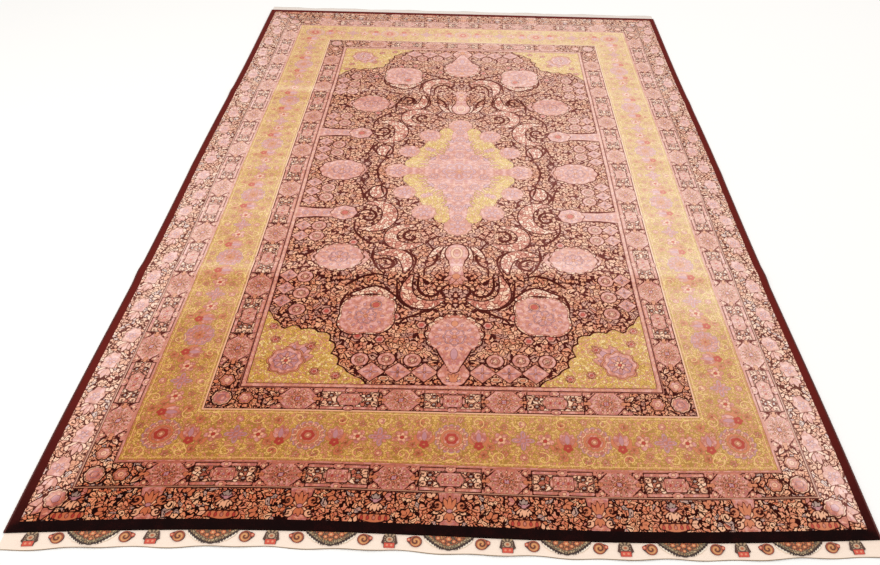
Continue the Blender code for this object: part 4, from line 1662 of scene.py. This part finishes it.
def woven_end(name, end):
    """The strip beyond one end of the pile: end is -1 near, 1 far."""
    bm = bmesh.new()
    slab(bm, (-1, 1), (0, 1), SKIRT_COLUMNS, SKIRT_ROWS)
    bmesh.ops.recalc_face_normals(bm, faces=bm.faces)
    mesh = as_mesh(name, bm)
    flat = numbers(mesh.vertices, "co", len(mesh.vertices)).astype(float)
    x = flat[:, 0] * (HALF_WIDTH - SKIRT_INSET)
    share = flat[:, 1] * (2 - flat[:, 1])  # the rows come closer towards the loose edge
    under = flat[:, 2] < -0.5
    depth = END_GAP + share * SKIRT_DEPTH + skirt_edge(end * x) * share**3
    floor_x, floor_y = laid(x, np.full(len(x), end * HALF_LENGTH))
    loose = smooth_step((share - LIP_START) / (1 - LIP_START))
    curl = 0.5 + 0.5 * np.sin(np.pi * 2 * x / RIPPLES[1][1] + end)
    flutter = 0.5 + 0.5 * np.sin(np.pi * 2 * x / FLUTTER_PITCH + 2)
    height = LIP_RISE * loose * curl + FLUTTER_RISE * loose * flutter
    height += np.where(under, 0.0, SKIRT_THICKNESS * (1 - 0.35 * loose))
    keep(mesh, "chart", np.stack([x, share, depth], 1))
    if end < 0:
        mesh.flip_normals()  # the strip runs away from the pile, which turns it inside out
    made = put_down(name, mesh, np.stack([floor_x, floor_y + end * depth, height], 1))
    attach(made, "root")
    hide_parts(name)
    print(name, len(mesh.polygons), "faces")
    return made


# %% [markdown]
# Plain weave is a rib one way and a warp the other, so two crossed sines make it. A darker cord
# is woven in along the loose edge, and its outermost rim is painted darker still: painted shadow
# where the edge lifts off the floor. Its place is a share of the strip's depth, kept at each
# point, so the cord follows every ripple.

# %% The weave, and both ends
WEFT_PITCH, WARP_PITCH = 0.0011, 0.0014


def plain_weave(name, pale, shade):
    d = Dyer(name)
    x, share, depth = d.parts(d.read("chart"))
    rib = d.math("SINE", d.math("MULTIPLY", depth, TURN / WEFT_PITCH))
    warp = d.math("SINE", d.math("MULTIPLY", x, TURN / WARP_PITCH))
    weave = d.math("MULTIPLY_ADD", d.math("MULTIPLY", rib, warp), 0.5, 0.5)
    stain = d.noise(d.read("chart"), 9.0, 5.0)
    colour = d.mix(weave, pale, shade)
    colour = d.mix(d.math("MULTIPLY", stain, 0.35), colour, dye("e6c9b0"))
    uneven = d.math("MULTIPLY_ADD", stain, 0.02, 0.945)
    cord_and_edge_shade = d.ramp(d.math("SUBTRACT", share, uneven), 0.0, 0.012)
    # an olive cord, and a painted shadow along its outermost rim
    cord_and_edge_shade_colour = d.mix(d.ramp(share, 0.975, 0.99), dye("8c7a4c"), dye("6a4a30"))
    colour = d.mix(d.math("MULTIPLY", cord_and_edge_shade, 0.85), colour, cord_and_edge_shade_colour)
    plain = {"Roughness": 0.85, "Sheen Weight": 0.1}
    return d.close(colour, plain, weave, strength=0.35, depth=0.0003)


near_weave = plain_weave("near_end_weave", dye("fff0e2"), dye("f6dcc8"))
dress(woven_end("woven_end_near", -1), near_weave)
far_weave = plain_weave("far_end_weave", dye("ece4de"), dye("d8ccc4"))
dress(woven_end("woven_end_far", 1), far_weave)

# %% [markdown]
# ## The islands of pile
#
# The half medallions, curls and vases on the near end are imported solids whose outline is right
# already. They stay, and get a drawn material. It works out where it is along the end from
# the repeat, so one material serves all of a kind.

# %% Where a point lies on its island
ISLAND_PITCH = 0.2667


def island_place(d, shift):
    """Distance across from the nearest repeat, and depth beyond the pile, in millimetres."""
    spot = d.put("ShaderNodeTexCoord", {}, "Object")
    x, y, _ = d.parts(spot)
    shifted = d.math("SUBTRACT", x, shift)
    turns = d.math("ROUND", d.math("DIVIDE", shifted, ISLAND_PITCH))
    across = d.math("SUBTRACT", shifted, d.math("MULTIPLY", turns, ISLAND_PITCH))
    bow = d.math("MULTIPLY", d.math("SINE", d.math("MULTIPLY", x, math.pi / HALF_WIDTH)), BOW)
    depth = d.math("SUBTRACT", d.math("SUBTRACT", -HALF_LENGTH - END_GAP, bow), y)
    return d.math("MULTIPLY", across, 1000), d.math("MULTIPLY", depth, 1000), spot


def away_from(d, across, depth, at, squeeze=1.0):
    """Distance from a place on the island, and the angle round it."""
    u = d.math("MULTIPLY", d.math("SUBTRACT", across, at[0]), squeeze)
    v = d.math("SUBTRACT", depth, at[1])
    length = d.math("SQRT", d.math("ADD", d.math("MULTIPLY", u, u), d.math("MULTIPLY", v, v)))
    return length, d.math("ARCTAN2", v, u)


def finish_island(d, colour, spot):
    """The knots over an island's drawing, as colour and as bump."""
    knot = d.knots(spot, (0.0011, 0.0011, 0.01))
    tone = d.math("MULTIPLY_ADD", knot, 0.22, 0.89)
    tones = d.put("ShaderNodeCombineColor", {0: tone, 1: tone, 2: tone})
    colour = d.mix(1.0, colour, tones, "MULTIPLY")
    plain = {"Roughness": 0.7, "Sheen Weight": 0.15}
    return d.close(colour, plain, knot, strength=0.4, depth=0.0006)


def petal_cells(d, spot, size, gap, colours):
    """Small petals with a dark line round each."""
    petals_in = d.pick(d.parts(d.cells(spot, size))[0], colours)
    return d.mix(d.ramp(d.to_edge(spot, size), 0.06, 0.14), gap, petals_in)


# %% [markdown]
# A half medallion is a broad fan of petals with a paler rim, a dark scalloped edge and six small
# blossoms. Its curved edge is one formula: how far across plus how deep, each as a share of the
# whole. That needs no mask and stays sharp close up.

# %% The half medallions
FAN_BLOSSOMS = (
    # place across and deep, size, all in millimetres
    ((0, 7), 6.0), ((-24, 6), 5), ((24, 6), 5), ((-12, 13), 4.5), ((12, 13), 4.5), ((0, 20), 4),
)  # fmt: skip


def arch_silk():
    """A fan that narrows to a point, with pale petals along its dark scalloped edge."""
    d = Dyer("arch_silk")
    across, depth, spot = island_place(d, 0.0)
    side = d.math("POWER", d.math("DIVIDE", d.math("ABSOLUTE", across), 57.0), 1.6)
    share = d.math("ADD", side, d.math("DIVIDE", depth, 33.0))
    scallop = d.math("ABSOLUTE", d.math("SINE", d.math("MULTIPLY", across, 0.55)))
    share = d.math("MULTIPLY_ADD", scallop, -0.09, share)
    heart = petal_cells(d, spot, 165.0, dye("3e1c10"), tuple(
        dye(c) for c in ("ac6034", "984c2a", "b87a44", "7c5c3a", "a0643a", "5c4a32")))  # fmt: skip
    rim = petal_cells(d, spot, 150.0, dye("321a12"), tuple(
        dye(c) for c in ("a08866", "867658", "b89c76", "94724e")))  # fmt: skip
    colour = d.mix(d.ramp(share, 0.62, 0.68), heart, rim)
    colour = d.mix(d.ramp(share, 0.86, 0.90), colour, dye("34180e"))
    colour = d.mix(d.ramp(share, 1.06, 1.10), colour, dye("efe0cc"))
    for at, size in FAN_BLOSSOMS:
        away, angle = away_from(d, across, depth, at, 0.85)
        edge = d.math("MULTIPLY_ADD", d.math("COSINE", d.math("MULTIPLY", angle, 6)), size * 0.15, size)
        inside = d.math("SUBTRACT", edge, away)
        colour = d.mix(d.ramp(inside, -0.8, -0.2), colour, dye("46200f"))
        colour = d.mix(d.ramp(inside, 0.3, 0.9), colour, dye("c4683a"))
        colour = d.mix(d.ramp(inside, size * 0.55, size * 0.65), colour, dye("dda878"))
    return finish_island(d, colour, spot)


# %% [markdown]
# A curl is a disc wound like a spiral, with a small bud at its side, and a vase stands on a red
# foot. Both are rings at set distances from a middle. Taking the distance across without its
# sign makes a left curl and a right one from the same finish.

# %% The curls and vases
def curl_silk():
    d = Dyer("curl_silk")
    across, depth, spot = island_place(d, 0.0)
    across = d.math("ABSOLUTE", across)
    away, angle = away_from(d, across, depth, (74.5, 15.8))
    wind = d.math("SINE", d.math("ADD", angle, d.math("MULTIPLY", away, 0.62)))
    colour = d.mix(d.ramp(wind, -0.75, -0.45), dye("4c1c0e"), dye("b4683a"))
    colour = d.mix(d.ramp(wind, 0.45, 0.85), colour, dye("d39a60"))
    colour = d.mix(d.ramp(away, 10.8, 11.6), colour, dye("a2482a"))
    colour = d.mix(d.ramp(away, 13.0, 13.7), colour, dye("42180e"))
    tip, _ = away_from(d, across, depth, (90.0, 12.5))
    colour = d.mix(d.ramp(tip, 5.8, 5.2), colour, dye("58200f"))
    colour = d.mix(d.ramp(tip, 4.6, 4.0), colour, dye("c4503a"))
    colour = d.mix(d.ramp(tip, 2.2, 1.6), colour, dye("d8a880"))
    return finish_island(d, colour, spot)


def vase_silk():
    d = Dyer("vase_silk")
    across, depth, spot = island_place(d, ISLAND_PITCH / 2)
    across = d.math("ABSOLUTE", across)
    away, angle = away_from(d, across, depth, (0, 14), 0.8)
    flute = d.math("SINE", d.math("MULTIPLY", angle, 11))
    colour = d.mix(d.ramp(flute, -0.2, 0.2), dye("54402f"), dye("a58a6c"))
    colour = d.mix(d.ramp(away, 8.4, 7.8), colour, dye("4a2a1e"))
    colour = d.mix(d.ramp(away, 6.6, 6.0), colour, dye("bd9c7c"))
    colour = d.mix(d.ramp(away, 3.4, 2.8), colour, dye("b0603c"))
    colour = d.mix(d.ramp(depth, 20.6, 21.4), colour, dye("562015"))
    colour = d.mix(d.ramp(depth, 22.2, 23.0), colour, dye("cc4a34"))
    away, _ = away_from(d, across, depth, (5, 28))
    colour = d.mix(d.ramp(away, 3.0, 2.4), colour, dye("e08a68"))
    colour = d.mix(d.ramp(across, 11.2, 12.2), colour, dye("4c2a1c"))
    return finish_island(d, colour, spot)


island_finish = {"arch": arch_silk(), "curl": curl_silk(), "vase": vase_silk()}
for name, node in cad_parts.items():
    kind = name.split("_")[0]
    if kind in island_finish:
        node.data.materials.clear()
        dress(node, island_finish[kind])
print(len(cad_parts), "nodes in the frame")

# %% [markdown]
# ## Floor, light and camera
#
# The rug lies on a plain pale floor, so that nothing competes with it. The floor is far larger
# than the rug, because its edge would show as a horizon. It has no shine.

# %% The floor
bm = bmesh.new()
bmesh.ops.create_grid(bm, x_segments=1, y_segments=1, size=14)
floor = bpy.data.objects.new("floor", as_mesh("floor", bm))
bpy.context.scene.collection.objects.link(floor)
white = Dyer("pale_floor")
grain = white.put("ShaderNodeTexNoise", {"Scale": 3.0, "Detail": 3.0})
floor_colour = white.mix(grain, dye("f8f7f5"), dye("fffefc"))
dress(floor, white.close(floor_colour, {"Roughness": 0.95, "Specular IOR Level": 0.0}))

# %% [markdown]
# Silk looks best under soft light from above. A bright even sky gives most of it, and two large
# area lights, one on each side, give the cord and the creases a little shape. The Standard view
# keeps the dyes as they were chosen, where a filmic one would grey them.

# %% The light
scene = bpy.context.scene
scene.view_settings.view_transform = "Standard"
world = bpy.data.worlds.new("studio")
scene.world = world
world.use_nodes = True
sky = world.node_tree.nodes["Background"]
sky.inputs["Color"].default_value = (1.0, 0.985, 0.97, 1.0)
sky.inputs["Strength"].default_value = 0.80

for name, place, size, power in (
    ("soft_key", (-1.6, -1.2, 4.2), 3.5, 62.0),
    ("soft_fill", (2.2, 2.0, 4.4), 3.5, 36.0),
):
    light = bpy.data.lights.new(name, "AREA")
    light.energy, light.size = power, size
    lamp = bpy.data.objects.new(name, light)
    lamp.location = place
    lamp.rotation_euler = (-Vector(place)).to_track_quat("-Z", "Y").to_euler()
    scene.collection.objects.link(lamp)

print(len(bpy.data.lights), "lamps look at the middle of the rug")

# %% [markdown]
# The camera stands at the near end at eye height and looks down along the rug. Its lens and place
# were found from the four corners of the rug in the picture. The picture isn't centred on the
# lens, so the camera has a small shift, which turning it instead would not give.

# %% The camera
SENSOR_WIDTH = 36.0  # millimetres
PICTURE_WIDTH = 880.0  # pixels
FOCAL_PIXELS = 745.5
SHIFT_PIXELS = (-42.5, 1.5)

camera_data = bpy.data.cameras.new("eye_height")
camera_data.sensor_width = SENSOR_WIDTH
camera_data.lens = FOCAL_PIXELS / PICTURE_WIDTH * SENSOR_WIDTH
camera_data.shift_x = SHIFT_PIXELS[0] / PICTURE_WIDTH
camera_data.shift_y = SHIFT_PIXELS[1] / PICTURE_WIDTH
camera = bpy.data.objects.new("eye_height", camera_data)
camera.location = (0.027, -2.371, 1.565)
camera.rotation_euler = [math.radians(a) for a in (48.138, -1.597, -0.417)]
scene.collection.objects.link(camera)
scene.camera = camera
print("lens", round(camera_data.lens, 2), "mm")
